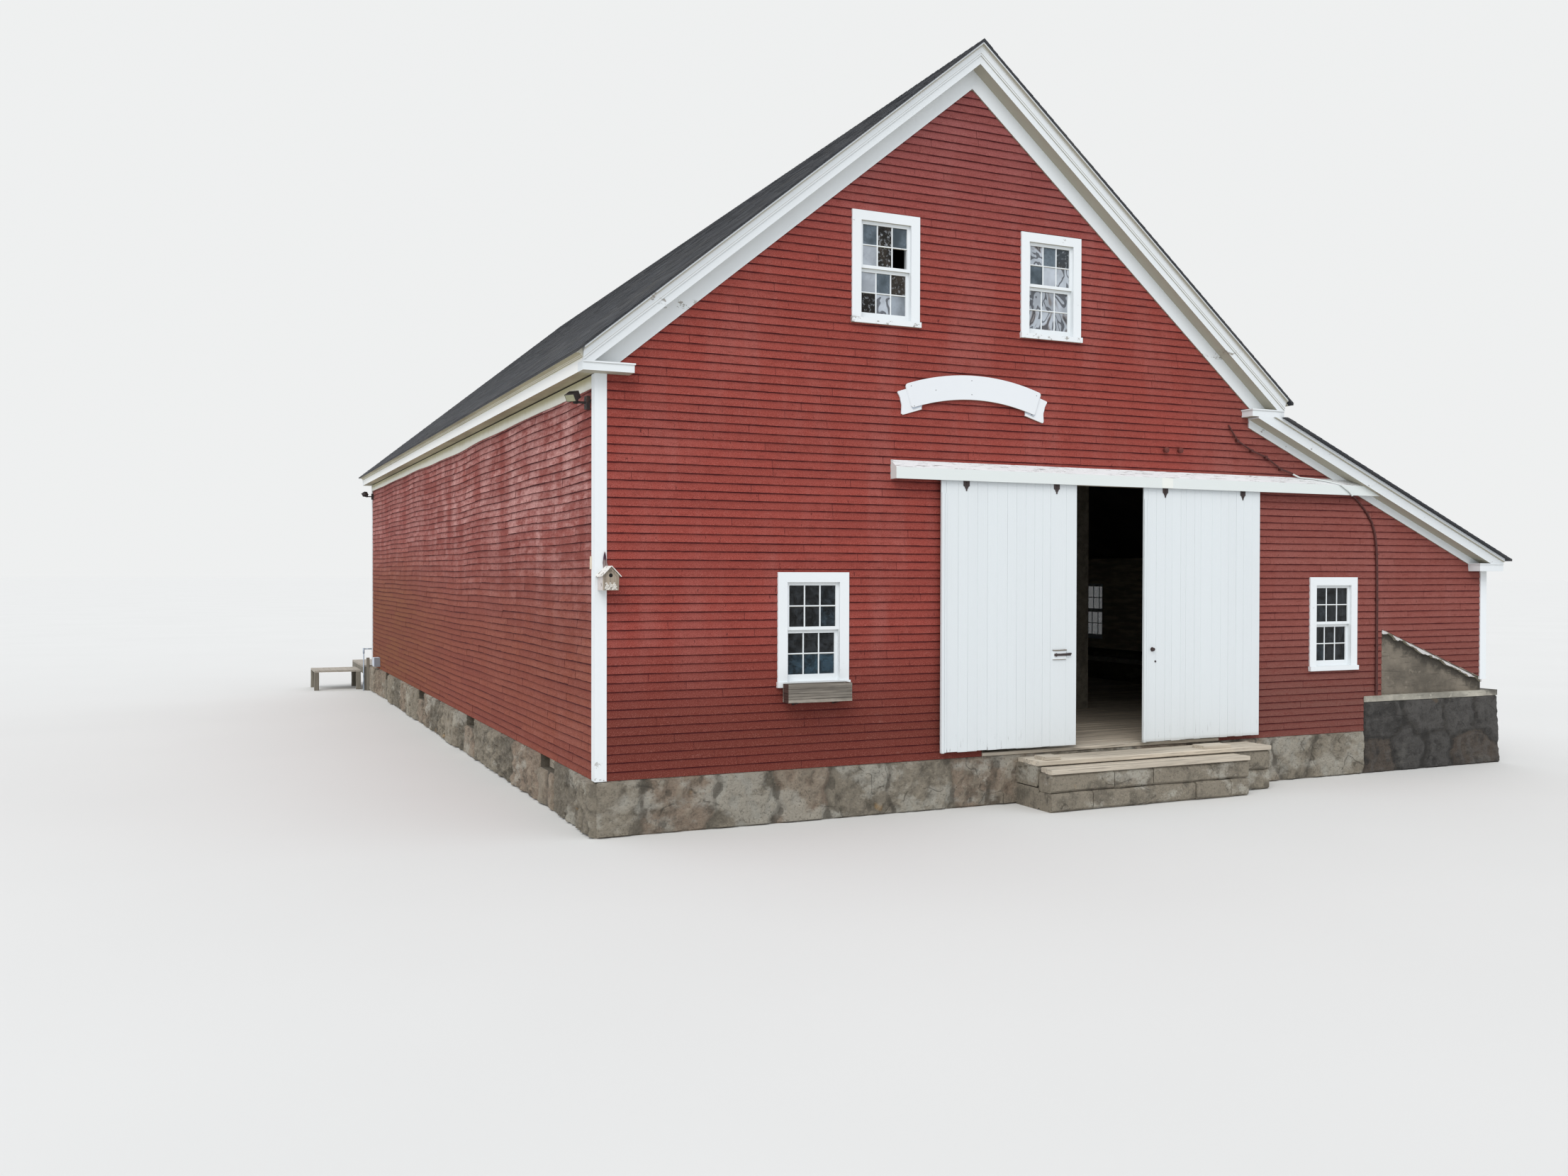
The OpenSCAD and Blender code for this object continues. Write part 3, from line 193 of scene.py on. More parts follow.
def loft(rings, caps=None):
    """Closed skins from sections carried along paths.

    rings[i, j, k] is point k of the section at station j of piece i.  Neighbouring
    points and stations are joined by quads, and ladders of quads close the two ends.
    """
    n, s, p = rings.shape[:3]
    k = np.arange(p)
    i = np.arange(s - 1)[:, None] * p + k
    j = np.arange(s - 1)[:, None] * p + (k + 1) % p
    side = np.stack([i, j, j + p, i + p], -1).reshape(-1, 4)
    k = np.arange(p // 2 - 1)
    cap = np.stack([k, k + 1, p - 2 - k, p - 1 - k], -1) if caps is None else np.array(caps)
    quads = np.concatenate([side, cap[:, ::-1], cap + (s - 1) * p])
    quads = quads[None] + (np.arange(n) * s * p)[:, None, None]
    return rings.reshape(-1, 3), quads.reshape(-1, 4)


def unmarked(rings):
    """Sections carried along paths, as a (verts, quads, lie) set whose lie is nought."""
    verts, quads = loft(rings)
    return verts, quads, np.zeros((len(verts), 3))


def points(x, y, z):
    """Points from their x, y and z, which may be arrays or single numbers."""
    return np.stack(np.broadcast_arrays(x, y, z), -1).astype(float)


def section(x, y, z):
    """Rings for one skin: x, y and z spread over its stations and the section's points."""
    return points(x, y, z)[None]


def sheet_quads(nu, nv):
    """Quads of a grid of nu by nv points whose second index runs fastest."""
    i = (np.arange(nu - 1)[:, None] * nv + np.arange(nv - 1)).ravel()
    return np.stack([i, i + nv, i + nv + 1, i + 1], -1)


def sheet(x, y, z):
    """An open sheet over a grid, as a (verts, quads, lie) set whose lie is nought."""
    verts = points(x, y, z).reshape(-1, 3)
    return verts, sheet_quads(*z.shape), 0 * verts


def unit_grid(nu, nv):
    """Two arrays that run from 0 to 1 over a grid of nu by nv points."""
    return np.meshgrid(np.linspace(0, 1, nu), np.linspace(0, 1, nv), indexing="ij")


def on_rim(s, t):
    """Whether places that run from 0 to 1 over a sheet lie on its rim."""
    return (np.minimum(s, t) < 1e-6) | (np.maximum(s, t) > 1 - 1e-6)


def outward(made):
    """A closed skin with its quads facing out: its volume, a sum of corner determinants,
    is made positive."""
    verts, quads, lie = made
    a, b, c, d = ((verts - verts.mean(0))[quads[:, k]] for k in range(4))
    halves = (np.einsum("ij,ij->i", a, np.cross(p, q)) for p, q in ((b, c), (c, d)))
    return verts, quads if sum(halves).sum() > 0 else quads[:, ::-1], lie


def joined(parts):
    """Several (verts, quads, lie) sets as one."""
    start = np.cumsum([0] + [len(p[0]) for p in parts[:-1]])
    return (np.concatenate([p[0] for p in parts]),
            np.concatenate([p[1] + s for p, s in zip(parts, start)]),
            np.concatenate([p[2] for p in parts]))


def piece(name, parts, finish, body="barn", hides=(), smooth=False, skin=True):
    """A mesh object from one (verts, quads, lie) set or a list of them, riding on its body.

    lie becomes an attribute: the run, the place across and the tone of a board, or what
    the finish says.  skin is false where the quads already face the right way.
    """
    parts = joined(parts) if isinstance(parts, list) else parts
    verts, quads, lie = outward(parts) if skin else parts
    mesh = bpy.data.meshes.new(name)
    mesh.vertices.add(len(verts))
    mesh.vertices.foreach_set("co", (verts + ORIGIN).astype(np.float32).ravel())
    mesh.loops.add(quads.size)
    mesh.loops.foreach_set("vertex_index", np.ascontiguousarray(quads, np.int32).ravel())
    mesh.polygons.add(len(quads))
    mesh.polygons.foreach_set("loop_start", np.arange(0, quads.size, 4, dtype=np.int32))
    mesh.update(calc_edges=True)
    if not smooth:
        mesh.shade_flat()
    layer = mesh.attributes.new("lie", "FLOAT_VECTOR", "POINT")
    layer.data.foreach_set("vector", np.asarray(lie, np.float32).ravel())
    mesh.materials.append(finish)
    made = bpy.data.objects.new(name, mesh)
    bpy.context.scene.collection.objects.link(made)
    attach(made, body)
    if hides:
        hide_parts(*hides)


def planks(lo, hi, along, chamfer, stations=2, wander=0.0, seed=1):
    """Boards: a rectangle with cut corners carried along one axis.

    At a share t of its length the section is moved by wander times a slow wave of t.
    Lie holds the run in metres, the place across from 0 to 1 and a tone per board.
    """
    lo, hi = np.atleast_2d(np.asarray(lo, float)), np.atleast_2d(np.asarray(hi, float))
    n, rng = len(lo), np.random.default_rng(seed)
    u, v = [a for a in range(3) if a != along]
    size = hi - lo
    t = np.linspace(0, 1, stations)
    cut = np.minimum(chamfer, 0.3 * np.minimum(size[:, u], size[:, v]))[:, None]
    rings = np.zeros((n, stations, 8, 3))
    phase = rng.uniform(0, 6.28, (n, 1, 2))
    wave = wander * np.sin(phase + t[None, :, None] * rng.uniform(2, 7, (n, 1, 2)))
    rings[..., along] = (lo[:, along, None] + t * size[:, along, None])[..., None]
    for axis, c, w in ((u, 0, wave[..., 0]), (v, 1, wave[..., 1])):
        flat = lo[:, axis, None] + CORNERS[:, c] * size[:, axis, None] + INSETS[:, c] * cut
        rings[..., axis] = flat[:, None, :] + w[..., None]
    tone = rng.uniform(0, 1, (n, 1, 1)) * np.ones((n, stations, 8))
    run = rings[..., along] + 7.0 * tone
    wide = u if np.median(size[:, u]) > np.median(size[:, v]) else v
    across = (rings[..., wide] - lo[:, None, None, wide]) / size[:, None, None, wide]
    verts, quads = loft(rings)
    if along == 1:
        quads = quads[:, ::-1]
    return verts, quads, np.stack([run, across, tone], -1).reshape(-1, 3)


def lengths(rng, start, end, low, high, least):
    """Start and length of each piece along a row.

    A length is drawn between low and high, and a rest shorter than least joins the last.
    """
    x = start
    while x < end - 0.01:
        w = min(rng.uniform(low, high), end - x)
        w = end - x if end - x - w < least else w
        yield x, w
        x += w


def domes(centres, radius, rise):
    """Rivet heads that face the front: an eight sided ring shrinking as a cosine while it
    rises as a sine."""
    a = np.arange(8) * math.pi / 4
    r = np.array([1.0, 0.92, 0.7, 0.3])[:, None] * radius
    h = np.array([0.0, 0.45, 0.8, 1.0])[:, None] * rise
    ring = points(-r * np.cos(a), -h, r * np.sin(a))
    return unmarked(np.atleast_2d(centres)[:, None, None, :] + ring)


def bars(a, b, radius, sides=8):
    """Round bars: a regular polygon carried from each a to each b."""
    a, b = np.atleast_2d(np.asarray(a, float)), np.atleast_2d(np.asarray(b, float))
    d = (b - a) / np.linalg.norm(b - a, axis=1)[:, None]
    side = np.cross(d, np.where(np.abs(d[:, 2:]) < 0.9, [[0, 0, 1.0]], [[1.0, 0, 0]]))
    side /= np.linalg.norm(side, axis=1)[:, None]
    up = np.cross(d, side)
    t = np.arange(sides) * 2 * math.pi / sides
    ring = radius * (np.cos(t)[None, :, None] * side[:, None]
                     + np.sin(t)[None, :, None] * up[:, None])
    return unmarked(np.stack([a[:, None] + ring, b[:, None] + ring], 1))


# Finishes


class Finish:
    """One procedural material.  Each method adds a node and returns its output."""

    def __init__(self, name, rough=0.75, **sockets):
        """Starts the material with its roughness and other fixed sockets."""
        self.material = bpy.data.materials.new(name)
        self.material.use_nodes = True
        self.tree = self.material.node_tree
        self.shader = next(n for n in self.tree.nodes if n.type == "BSDF_PRINCIPLED")
        self.shader.inputs["Roughness"].default_value = rough
        for key, value in sockets.items():
            self.shader.inputs[key.replace("_", " ")].default_value = value
        self.place = self.tree.nodes.new("ShaderNodeTexCoord").outputs["Object"]

    def feed(self, socket, value):
        """Links an output into a socket, or sets the socket to a number or a colour."""
        if isinstance(value, bpy.types.NodeSocket):
            self.tree.links.new(value, socket)
        elif socket.type == "RGBA" and len(np.shape(value)) and len(value) == 3:
            socket.default_value = (*value, 1.0)
        else:
            socket.default_value = value

    def noise(self, grain, detail, rough=0.55, vector=None, twist=0.0):
        """Noise with grain repeats a metre along X, Y and Z."""
        mapping = self.tree.nodes.new("ShaderNodeMapping")
        self.feed(mapping.inputs["Vector"], vector or self.place)
        mapping.inputs["Scale"].default_value = grain
        node = self.tree.nodes.new("ShaderNodeTexNoise")
        self.feed(node.inputs["Vector"], mapping.outputs["Vector"])
        node.inputs["Scale"].default_value = 1.0
        node.inputs["Detail"].default_value = detail
        node.inputs["Roughness"].default_value = rough
        node.inputs["Distortion"].default_value = twist
        return node.outputs["Fac"]

    def band(self, value, low, high, top=1.0):
        """Smooth step from 0 at low to top at high."""
        node = self.tree.nodes.new("ShaderNodeMapRange")
        node.interpolation_type = "SMOOTHSTEP"
        for key, number in (("Value", value), ("From Min", low), ("From Max", high),
                            ("To Min", 0.0), ("To Max", top)):
            self.feed(node.inputs[key], number)
        return node.outputs["Result"]

    def math(self, kind, a, b=0.0):
        """One step of arithmetic on two values."""
        node = self.tree.nodes.new("ShaderNodeMath")
        node.operation = kind
        self.feed(node.inputs[0], a)
        self.feed(node.inputs[1], b)
        return node.outputs[0]

    def plus(self, a, b):
        """The sum of two values."""
        return self.math("ADD", a, b)

    def times(self, a, b):
        """The product of two values."""
        return self.math("MULTIPLY", a, b)

    def blend(self, share, a, b):
        """Colour a where the share is 0, running into colour b where it is 1."""
        node = self.tree.nodes.new("ShaderNodeMix")
        node.data_type = "RGBA"
        self.feed(node.inputs[0], share)
        self.feed(node.inputs[6], a)
        self.feed(node.inputs[7], b)
        return node.outputs[2]

    def over(self, hue, cover, value, low, high, top=1.0):
        """A hue under a cover that shows where a value runs from low to high."""
        return self.blend(self.band(value, low, high, top), hue, cover)

    def split(self, vector):
        """The three parts of a vector."""
        node = self.tree.nodes.new("ShaderNodeSeparateXYZ")
        self.feed(node.inputs[0], vector)
        return node.outputs

    def gather(self, x, y, z):
        """A vector from its three parts."""
        node = self.tree.nodes.new("ShaderNodeCombineXYZ")
        for socket, value in zip(node.inputs, (x, y, z)):
            self.feed(socket, value)
        return node.outputs[0]

    def spot(self):
        """Place in the building's own frame, as X, Y and Z outputs."""
        node = self.tree.nodes.new("ShaderNodeVectorMath")
        node.operation = "SUBTRACT"
        self.feed(node.inputs[0], self.place)
        node.inputs[1].default_value = tuple(ORIGIN)
        return self.split(node.outputs[0])

    def lie(self):
        """The three parts of the piece's own attribute."""
        node = self.tree.nodes.new("ShaderNodeAttribute")
        node.attribute_name = "lie"
        return self.split(node.outputs["Vector"])

    def upright(self):
        """How far the surface faces up, from -1 to 1."""
        return self.split(self.tree.nodes.new("ShaderNodeNewGeometry").outputs["Normal"])[2]

    def dress(self, hue, height=None, depth=0.003):
        """Sets the colour, and the bump from a height."""
        self.feed(self.shader.inputs["Base Color"], hue)
        if height is not None:
            node = self.tree.nodes.new("ShaderNodeBump")
            node.inputs["Strength"].default_value = 1.0
            node.inputs["Distance"].default_value = depth
            self.feed(node.inputs["Height"], height)
            self.feed(self.shader.inputs["Normal"], node.outputs["Normal"])
        return self.material


FINISHES = {}
HOOD_TONE = srgb(219, 225, 224)


def finish(maker, *args):
    """A finish made once and shared."""
    key = (maker.__name__,) + args
    if key not in FINISHES:
        FINISHES[key] = maker(*args)
    return FINISHES[key]


def shaded(c, k):
    """A colour times a number."""
    return tuple(k * x for x in c)


def side_red(f, run, spot, blotch):
    """Faded red of the long side wall.

    Chalky patches, shifted from board to board, are strongest high up and near the
    front corner.  They fade out towards the ground, where the red turns brown.
    """
    c = tones()
    y, z = spot[1], spot[2]
    own = f.noise((0.8, 1.0, 1.6), 4.0, 0.62, vector=f.gather(run, 0.0, z))
    streak = f.noise((1.0, 1.5, 0.32), 4.0, 0.6)
    mottle = f.noise((4.0, 4.0, 16.0), 6.0, 0.75)
    patch = f.plus(f.times(own, 0.30), f.times(streak, 0.36))
    patch = f.plus(patch, f.times(mottle, 0.34))
    high = f.plus(f.plus(0.13, f.band(y, 7.0, 0.5, 0.16)), f.band(z, 1.1, 3.8, 0.62))
    high = f.times(high, f.math("SUBTRACT", 1.0, f.band(y, 6.0, 17.0, 0.35)))
    hue = f.blend(f.times(f.band(patch, 0.42, 0.62), high), c.side, c.chalk)
    hue = f.over(hue, shaded(c.side, 0.55), mottle, 0.50, 0.30, 0.55)
    hue = f.over(hue, c.rust, z, 3.1, 1.2, 0.70)
    far = f.times(f.band(y, 7.0, 17.0, 0.70), f.band(z, 3.4, 1.4))
    hue = f.blend(far, hue, srgb(120, 77, 40))
    return f.blend(f.band(blotch, 0.50, 0.70, 0.22), hue, shaded(c.side, 0.75))


def gable_red(f, spot, blotch):
    """Even red of the gables: faint chalk, darker at the foot from dirt and painted shade, paler at
    the right and the peak.
    """
    c = tones()
    x, z = spot[0], spot[2]
    streak = f.noise((1.7, 1.7, 0.4), 5.0, 0.6)
    hue = f.blend(f.band(streak, 0.44, 0.70, 0.10), c.red, c.chalk)
    hue = f.over(hue, shaded(c.red, 0.72), blotch, 0.52, 0.72, 0.20)
    # Darker at the foot: partly dirt, partly painted shade.
    hue = f.over(hue, srgb(99, 48, 39), z, 2.0, 0.4, 0.90)
    hue = f.over(hue, srgb(122, 92, 86), x, 8.0, 10.5, 0.45)
    return f.blend(f.band(z, 5.8, 8.4, 0.40), hue, srgb(128, 96, 102))


def clapboard_paint(name, faded):
    """Red paint on clapboards, with a tone for each board and a painted shadow: a dark line under
    each butt.

    Specks, grain and cracks lie over the wall's own red.  The painted shadow line is unevenly
    strong, and its edge wanders by a noise.  It also darkens each butt's underside and the board
    ends, and a painted shade fades down from it over the upper part of each board.
    """
    c = tones()
    f = Finish(name, 0.9, Specular_IOR_Level=0.2)
    run, across, tone = f.lie()
    spot = f.spot()
    fine = f.noise((7.0, 7.0, 26.0), 6.0, 0.7)
    blotch = f.noise((0.9, 0.9, 1.2), 4.0, 0.6)
    if faded:
        hue = side_red(f, run, spot, blotch)
        tone_share, painted_shade_share, crack_band, shadow_line_band = 0.44, 0.42, (0.66, 0.69), (0.90, 1.00)
    else:
        hue = gable_red(f, spot, blotch)
        tone_share, painted_shade_share, crack_band, shadow_line_band = 0.28, 0.34, (0.69, 0.72), (0.87, 0.97)
    hue = f.blend(f.times(tone, tone_share), hue, shaded(c.red, 0.52))
    speck = f.noise((90.0, 90.0, 120.0), 2.0, 0.6)
    hue = f.over(hue, srgb(190, 124, 114), speck, 0.50, 0.72, 0.32)
    hue = f.over(hue, shaded(c.red, 0.36), speck, 0.50, 0.28, 0.60)
    hue = f.over(hue, shaded(c.red, 0.50), fine, 0.50, 0.30, 0.40)
    hue = f.over(hue, srgb(196, 160, 150), fine, 0.60, 0.80, 0.16)
    crack = f.noise((26.0, 26.0, 5.0), 3.0, 0.7)
    hue = f.over(hue, shaded(c.line, 0.6), crack, *crack_band, 0.7)
    uneven = f.plus(across, f.times(f.noise((9.0, 9.0, 9.0), 3.0, 0.7), 0.16))
    # Painted shadow under each butt: the dark line at the top of each board, on the butt's
    # underside and on the board ends.
    line = f.math("MAXIMUM", f.band(uneven, *shadow_line_band), f.band(across, -0.02, -0.10))
    # Painted shade fading down from the butt above over the upper part of each board.
    hue = f.over(hue, shaded(c.red, 0.40), uneven, 0.55, 0.95, painted_shade_share)
    faint = f.band(f.noise((2.2, 2.2, 12.0), 4.0, 0.7), 0.62, 0.40, 0.45)
    hue = f.blend(f.times(line, f.plus(0.55, faint)), hue, c.line)
    grain = f.noise((5.0, 5.0, 90.0), 3.0, 0.6)
    return f.dress(hue, f.plus(grain, fine), 0.0018)


def wall_back():
    """Grey timber of the walls behind the boards, with streaks."""
    c = tones()
    f = Finish("sheathing", 0.9)
    streak = f.noise((2.0, 2.0, 14.0), 4.0)
    hue = f.blend(f.band(streak, 0.35, 0.7), c.timber, shaded(c.timber, 1.5))
    return f.dress(hue, streak, 0.003)


def trim_paint(name, tone, wear):
    """White paint: faint drips, stain and painted shade where it faces down, bare grey wood where
    it peels.

    It peels most in two places: at the lowest half metre of the corner boards, and in a
    low band along the foot of the upper windows.
    """
    c = tones()
    f = Finish(name, 0.6)
    stain = f.noise((1.1, 1.1, 0.5), 4.0, 0.6)
    fine = f.noise((22.0, 22.0, 22.0), 5.0, 0.6)
    hue = f.over(tone, shaded(tone, 0.74), stain, 0.45, 0.8, 0.10 + 0.15 * wear)
    # Faces that look down take the soffit colour: partly stain, partly painted shade.
    hue = f.over(hue, c.stain_and_shade, f.upright(), -0.35, -0.75, 0.80)
    flake = f.noise((6.0, 6.0, 10.0), 8.0, 0.74)
    bare = f.band(flake, 0.70 - 0.14 * wear, 0.73 - 0.14 * wear, min(1.0, 0.45 + wear))
    z = f.spot()[2]
    sill = f.times(f.band(z, 5.44, 5.48), f.band(z, 5.60, 5.54, 0.8))
    bare = f.math("MAXIMUM", bare, f.times(sill, f.band(flake, 0.56, 0.60)))
    foot = f.times(f.band(z, 0.55, 0.05, 0.7), f.band(flake, 0.60, 0.63))
    bare = f.math("MAXIMUM", bare, foot)
    hue = f.blend(bare, hue, srgb(128, 120, 108))
    bump = f.math("SUBTRACT", f.times(fine, 0.4), bare)
    return f.dress(hue, bump, 0.0012)


def eave_paint(name, wall_side):
    """Long eave: bright fascia with painted shade on the crown above it, a soffit olive from stain
    and painted shade, and a painted shadow in its corner against the frieze.

    wall_side is 1 where the wall stands at a greater X than the eave, -1 where it is less.
    """
    f = Finish(name, 0.6)
    spot = f.spot()
    x, z = spot[0], spot[2]
    away = f.times(x, -1.0) if wall_side > 0 else f.math("SUBTRACT", x, WIDTH)
    # Faces that look down take the olive: partly stain, partly painted shade.
    down = f.band(f.upright(), -0.35, -0.75)
    stain = f.noise((1.6, 0.5, 1.6), 4.0, 0.6)
    olive = f.blend(f.band(stain, 0.35, 0.7), srgb(166, 160, 132), srgb(134, 126, 99))
    # Painted shadow in the corner where the soffit meets the frieze.
    olive = f.over(olive, srgb(60, 52, 40), away, 0.055, 0.035)
    bright = f.blend(f.band(stain, 0.5, 0.8, 0.12), srgb(242, 243, 241), srgb(180, 180, 172))
    # Painted shade on the crown moulding above the fascia.
    top = f.band(z, SOFFIT + 0.125, SOFFIT + 0.14, 0.55)
    bright = f.blend(top, bright, srgb(186, 178, 140))
    return f.dress(f.blend(down, bright, olive), stain, 0.001)


def frieze_paint():
    """Frieze under the long eave: olive at the top from stain and the eave's painted shadow,
    running into clean white at the foot.
    """
    f = Finish("frieze_paint", 0.6)
    z = f.spot()[2]
    drip = f.noise((3.0, 3.0, 0.5), 4.0, 0.6)
    # Olive at the top: partly stain, partly painted shadow under the eave.
    olive = f.band(f.plus(z, f.times(drip, 0.05)), SOFFIT - 0.105, SOFFIT - 0.015)
    hue = f.blend(olive, srgb(224, 224, 213), srgb(178, 172, 136))
    return f.dress(hue, drip, 0.001)


def hood_paint(name, tone):
    """Track hood: clean front, and a top that has cracked and peeled along its length.  The top is
    painted lighter, as light from above, and faces that look down get a painted grey shade.
    """
    f = Finish(name, 0.6)
    up = f.band(f.upright(), 0.3, 0.7)
    crack, spot = f.noise((4.0, 70.0, 70.0), 6.0, 0.72), f.noise((5.0, 14.0, 14.0), 4.0, 0.6)
    dirt = f.noise((0.8, 4.0, 4.0), 4.0, 0.6)
    # Painted light: faces that look up are drawn brighter.
    hue = f.blend(up, tone, srgb(236, 238, 241))
    hue = f.blend(f.times(up, f.band(dirt, 0.35, 0.7, 0.22)), hue, shaded(tone, 0.80))
    hue = f.blend(f.times(up, f.band(crack, 0.575, 0.61, 0.95)), hue, srgb(84, 74, 70))
    hue = f.blend(f.times(up, f.band(spot, 0.70, 0.72)), hue, srgb(50, 44, 42))
    # Painted shade on faces that look down.
    hue = f.over(hue, srgb(150, 150, 146), f.upright(), -0.35, -0.75, 0.6)
    return f.dress(hue, f.times(crack, up), 0.003)


def plank_paint(name, tone):
    """Painted planks: a faint tone for each board, fine grain, and cracked feet."""
    f = Finish(name, 0.6)
    board, z = f.lie()[2], f.spot()[2]
    grain = f.noise((40.0, 40.0, 1.6), 4.0, 0.6)
    stain = f.noise((1.3, 1.3, 0.4), 4.0, 0.6)
    hue = f.blend(f.times(board, 0.055), tone, shaded(tone, 0.70))
    hue = f.over(hue, shaded(tone, 0.78), stain, 0.45, 0.8, 0.10)
    hue = f.over(hue, shaded(tone, 0.62), grain, 0.62, 0.76, 0.08)
    crack = f.band(f.noise((36.0, 36.0, 3.0), 5.0, 0.7), 0.60, 0.66)
    foot = f.plus(f.band(z, 0.42, 0.10, 0.45), f.band(z, 0.15, 0.08, 0.55))
    hue = f.blend(f.times(foot, crack), hue, srgb(74, 66, 58))
    hue = f.over(hue, srgb(150, 146, 134), z, 0.12, 0.06, 0.35)
    return f.dress(hue, grain, 0.0010)


def bare_timber(name, tone, axis, blotches=0.5):
    """Weathered boards: grain drawn out along one axis, cracks and grey blotches.

    blotches says how many blotches a metre has along that axis.
    """
    f = Finish(name, 0.9)
    fine, coarse = [46.0] * 3, [9.0] * 3
    fine[axis], coarse[axis] = 1.4, blotches
    grain, blotch = f.noise(fine, 5.0, 0.65), f.noise(coarse, 4.0, 0.6)
    board = f.lie()[2]
    hue = f.over(tone, shaded(tone, 0.62), blotch, 0.3, 0.7)
    hue = f.blend(f.times(board, 0.35), hue, shaded(tone, 0.5))
    hue = f.over(hue, shaded(tone, 1.30), grain, 0.46, 0.34, 0.40)
    hue = f.over(hue, shaded(tone, 0.26), grain, 0.55, 0.66, 0.80)
    return f.dress(hue, grain, 0.004)


def shingle_grit():
    """Mineral shingles: a tone for each tab, coarse grit and slow weather patches."""
    c = tones()
    f = Finish("shingle_grit", 0.95)
    tab = f.lie()[2]
    grit = f.noise((160.0, 160.0, 160.0), 3.0, 0.7)
    patch = f.noise((0.9, 0.9, 0.9), 5.0, 0.6)
    hue = f.blend(tab, shaded(c.shingle, 0.62), shaded(c.shingle, 1.35))
    hue = f.over(hue, srgb(84, 82, 80), patch, 0.45, 0.7, 0.45)
    hue = f.over(hue, shaded(c.shingle, 1.8), grit, 0.5, 0.75, 0.5)
    return f.dress(hue, grit, 0.002)


def field_stone(name, tone, limed):
    """Field stones: lie gives the joint, the relief and a tone for each stone.

    The stones run from dark through grey brown to pinkish brown, with a painted shade in the
    hollows and a painted highlight where they stand proud, pale streaks of old lime wash over a
    share of them, a few ochre stains and thin dark cracks where a noise crosses its middle.
    """
    c = tones()
    k = tone[1] / c.stone[1]
    f = Finish(name, 0.92)
    joint, proud, stone = f.lie()
    blot = f.noise((4.0, 4.0, 4.0), 6.0, 0.65)
    fine = f.noise((34.0, 34.0, 34.0), 6.0, 0.72)
    wash, stain = f.noise((1.1, 1.1, 1.7), 5.0, 0.66), f.noise((1.7, 1.7, 1.7), 3.0)
    hue = f.over(tone, shaded(c.warm, k), stone, 0.55, 0.75, 0.75)
    hue = f.over(hue, shaded(tone, 0.46), stone, 0.32, 0.12, 0.6)
    hue = f.over(hue, shaded(tone, 0.36), blot, 0.44, 0.66, 0.7)
    pale = f.band(wash, 0.60 - 0.22 * limed, 0.68 - 0.18 * limed, 0.40 + 0.55 * limed)
    hue = f.blend(pale, hue, shaded(c.lime, 1.06 * k))
    hue = f.over(hue, shaded(srgb(176, 136, 76), k), stain, 0.69, 0.74, 0.55)
    hue = f.over(hue, shaded(tone, 1.65), fine, 0.54, 0.70, 0.50)
    # Painted highlight where the stone stands proud.
    hue = f.over(hue, shaded(tone, 1.5), proud, 0.65, 1.0, 0.35)
    hue = f.over(hue, shaded(tone, 0.38), fine, 0.48, 0.34, 0.60)
    hue = f.blend(f.times(joint, 0.5), hue, shaded(c.mortar, 0.7 * k))
    # Painted shade in the hollows.
    hue = f.over(hue, shaded(tone, 0.30), proud, 0.17, 0.02, 0.55)
    vein = f.noise((1.1, 1.1, 1.3), 2.5, 0.5, twist=0.4)
    vein = f.math("ABSOLUTE", f.math("SUBTRACT", vein, 0.5))
    vein = f.times(f.band(vein, 0.009, 0.003, 0.55), f.band(blot, 0.48, 0.54))
    hue = f.blend(vein, hue, shaded(tone, 0.22))
    return f.dress(hue, f.plus(blot, f.times(fine, 0.7)), 0.035)


def lime_coat(name, tone):
    """Rough lime coat: lumps, damp blotches, bare flakes, and a painted shadow under the slanting
    boards.

    The height above the slanting edge is Z plus X times the edge's fall, roughened by
    the lumps.
    """
    f = Finish(name, 0.92)
    lump, blot = f.noise((7.0, 7.0, 7.0), 6.0, 0.65), f.noise((1.1, 1.1, 1.6), 5.0, 0.65)
    hue = f.over(tone, shaded(tone, 0.5), blot, 0.38, 0.66)
    hue = f.over(hue, shaded(tone, 1.5), lump, 0.56, 0.7, 0.6)
    spot = f.spot()
    slope = f.plus(spot[2], f.times(spot[0], (CUT_HIGH - CUT_LOW) / (LEAN_X - CUT_X)))
    slope = f.plus(slope, f.times(f.math("SUBTRACT", lump, 0.5), 0.5))
    crack = f.noise((2.6, 2.6, 30.0), 5.0, 0.7)
    hue = f.over(hue, shaded(tone, 0.35), crack, 0.56, 0.62, 0.55)
    top = CUT_HIGH + CUT_X * (CUT_HIGH - CUT_LOW) / (LEAN_X - CUT_X)
    # Painted shadow in a band under the slanting boards' edge.
    hue = f.over(hue, shaded(tone, 0.14), slope, top - 0.26, top - 0.08, 0.85)
    return f.dress(hue, lump, 0.015)


def rusty_iron(name, tone):
    """Dull painted iron with rust coming through in patches."""
    f = Finish(name, 0.7, Metallic=0.15)
    rust = f.noise((14.0, 14.0, 14.0), 6.0, 0.65)
    hue = f.over(tone, srgb(104, 70, 54), rust, 0.52, 0.70, 0.45)
    return f.dress(hue, rust, 0.002)


def latch_iron():
    """Dark iron straps and hasp; the latch plate, low and thin, is painted over with the door."""
    c = tones()
    f = Finish("latch_iron", 0.65)
    spot = f.spot()
    plate = f.times(f.band(spot[2], 2.1, 1.9),
                    f.band(spot[1], DOOR_FACE - 0.009, DOOR_FACE - 0.0075))
    return f.dress(f.blend(plate, c.iron, c.door))


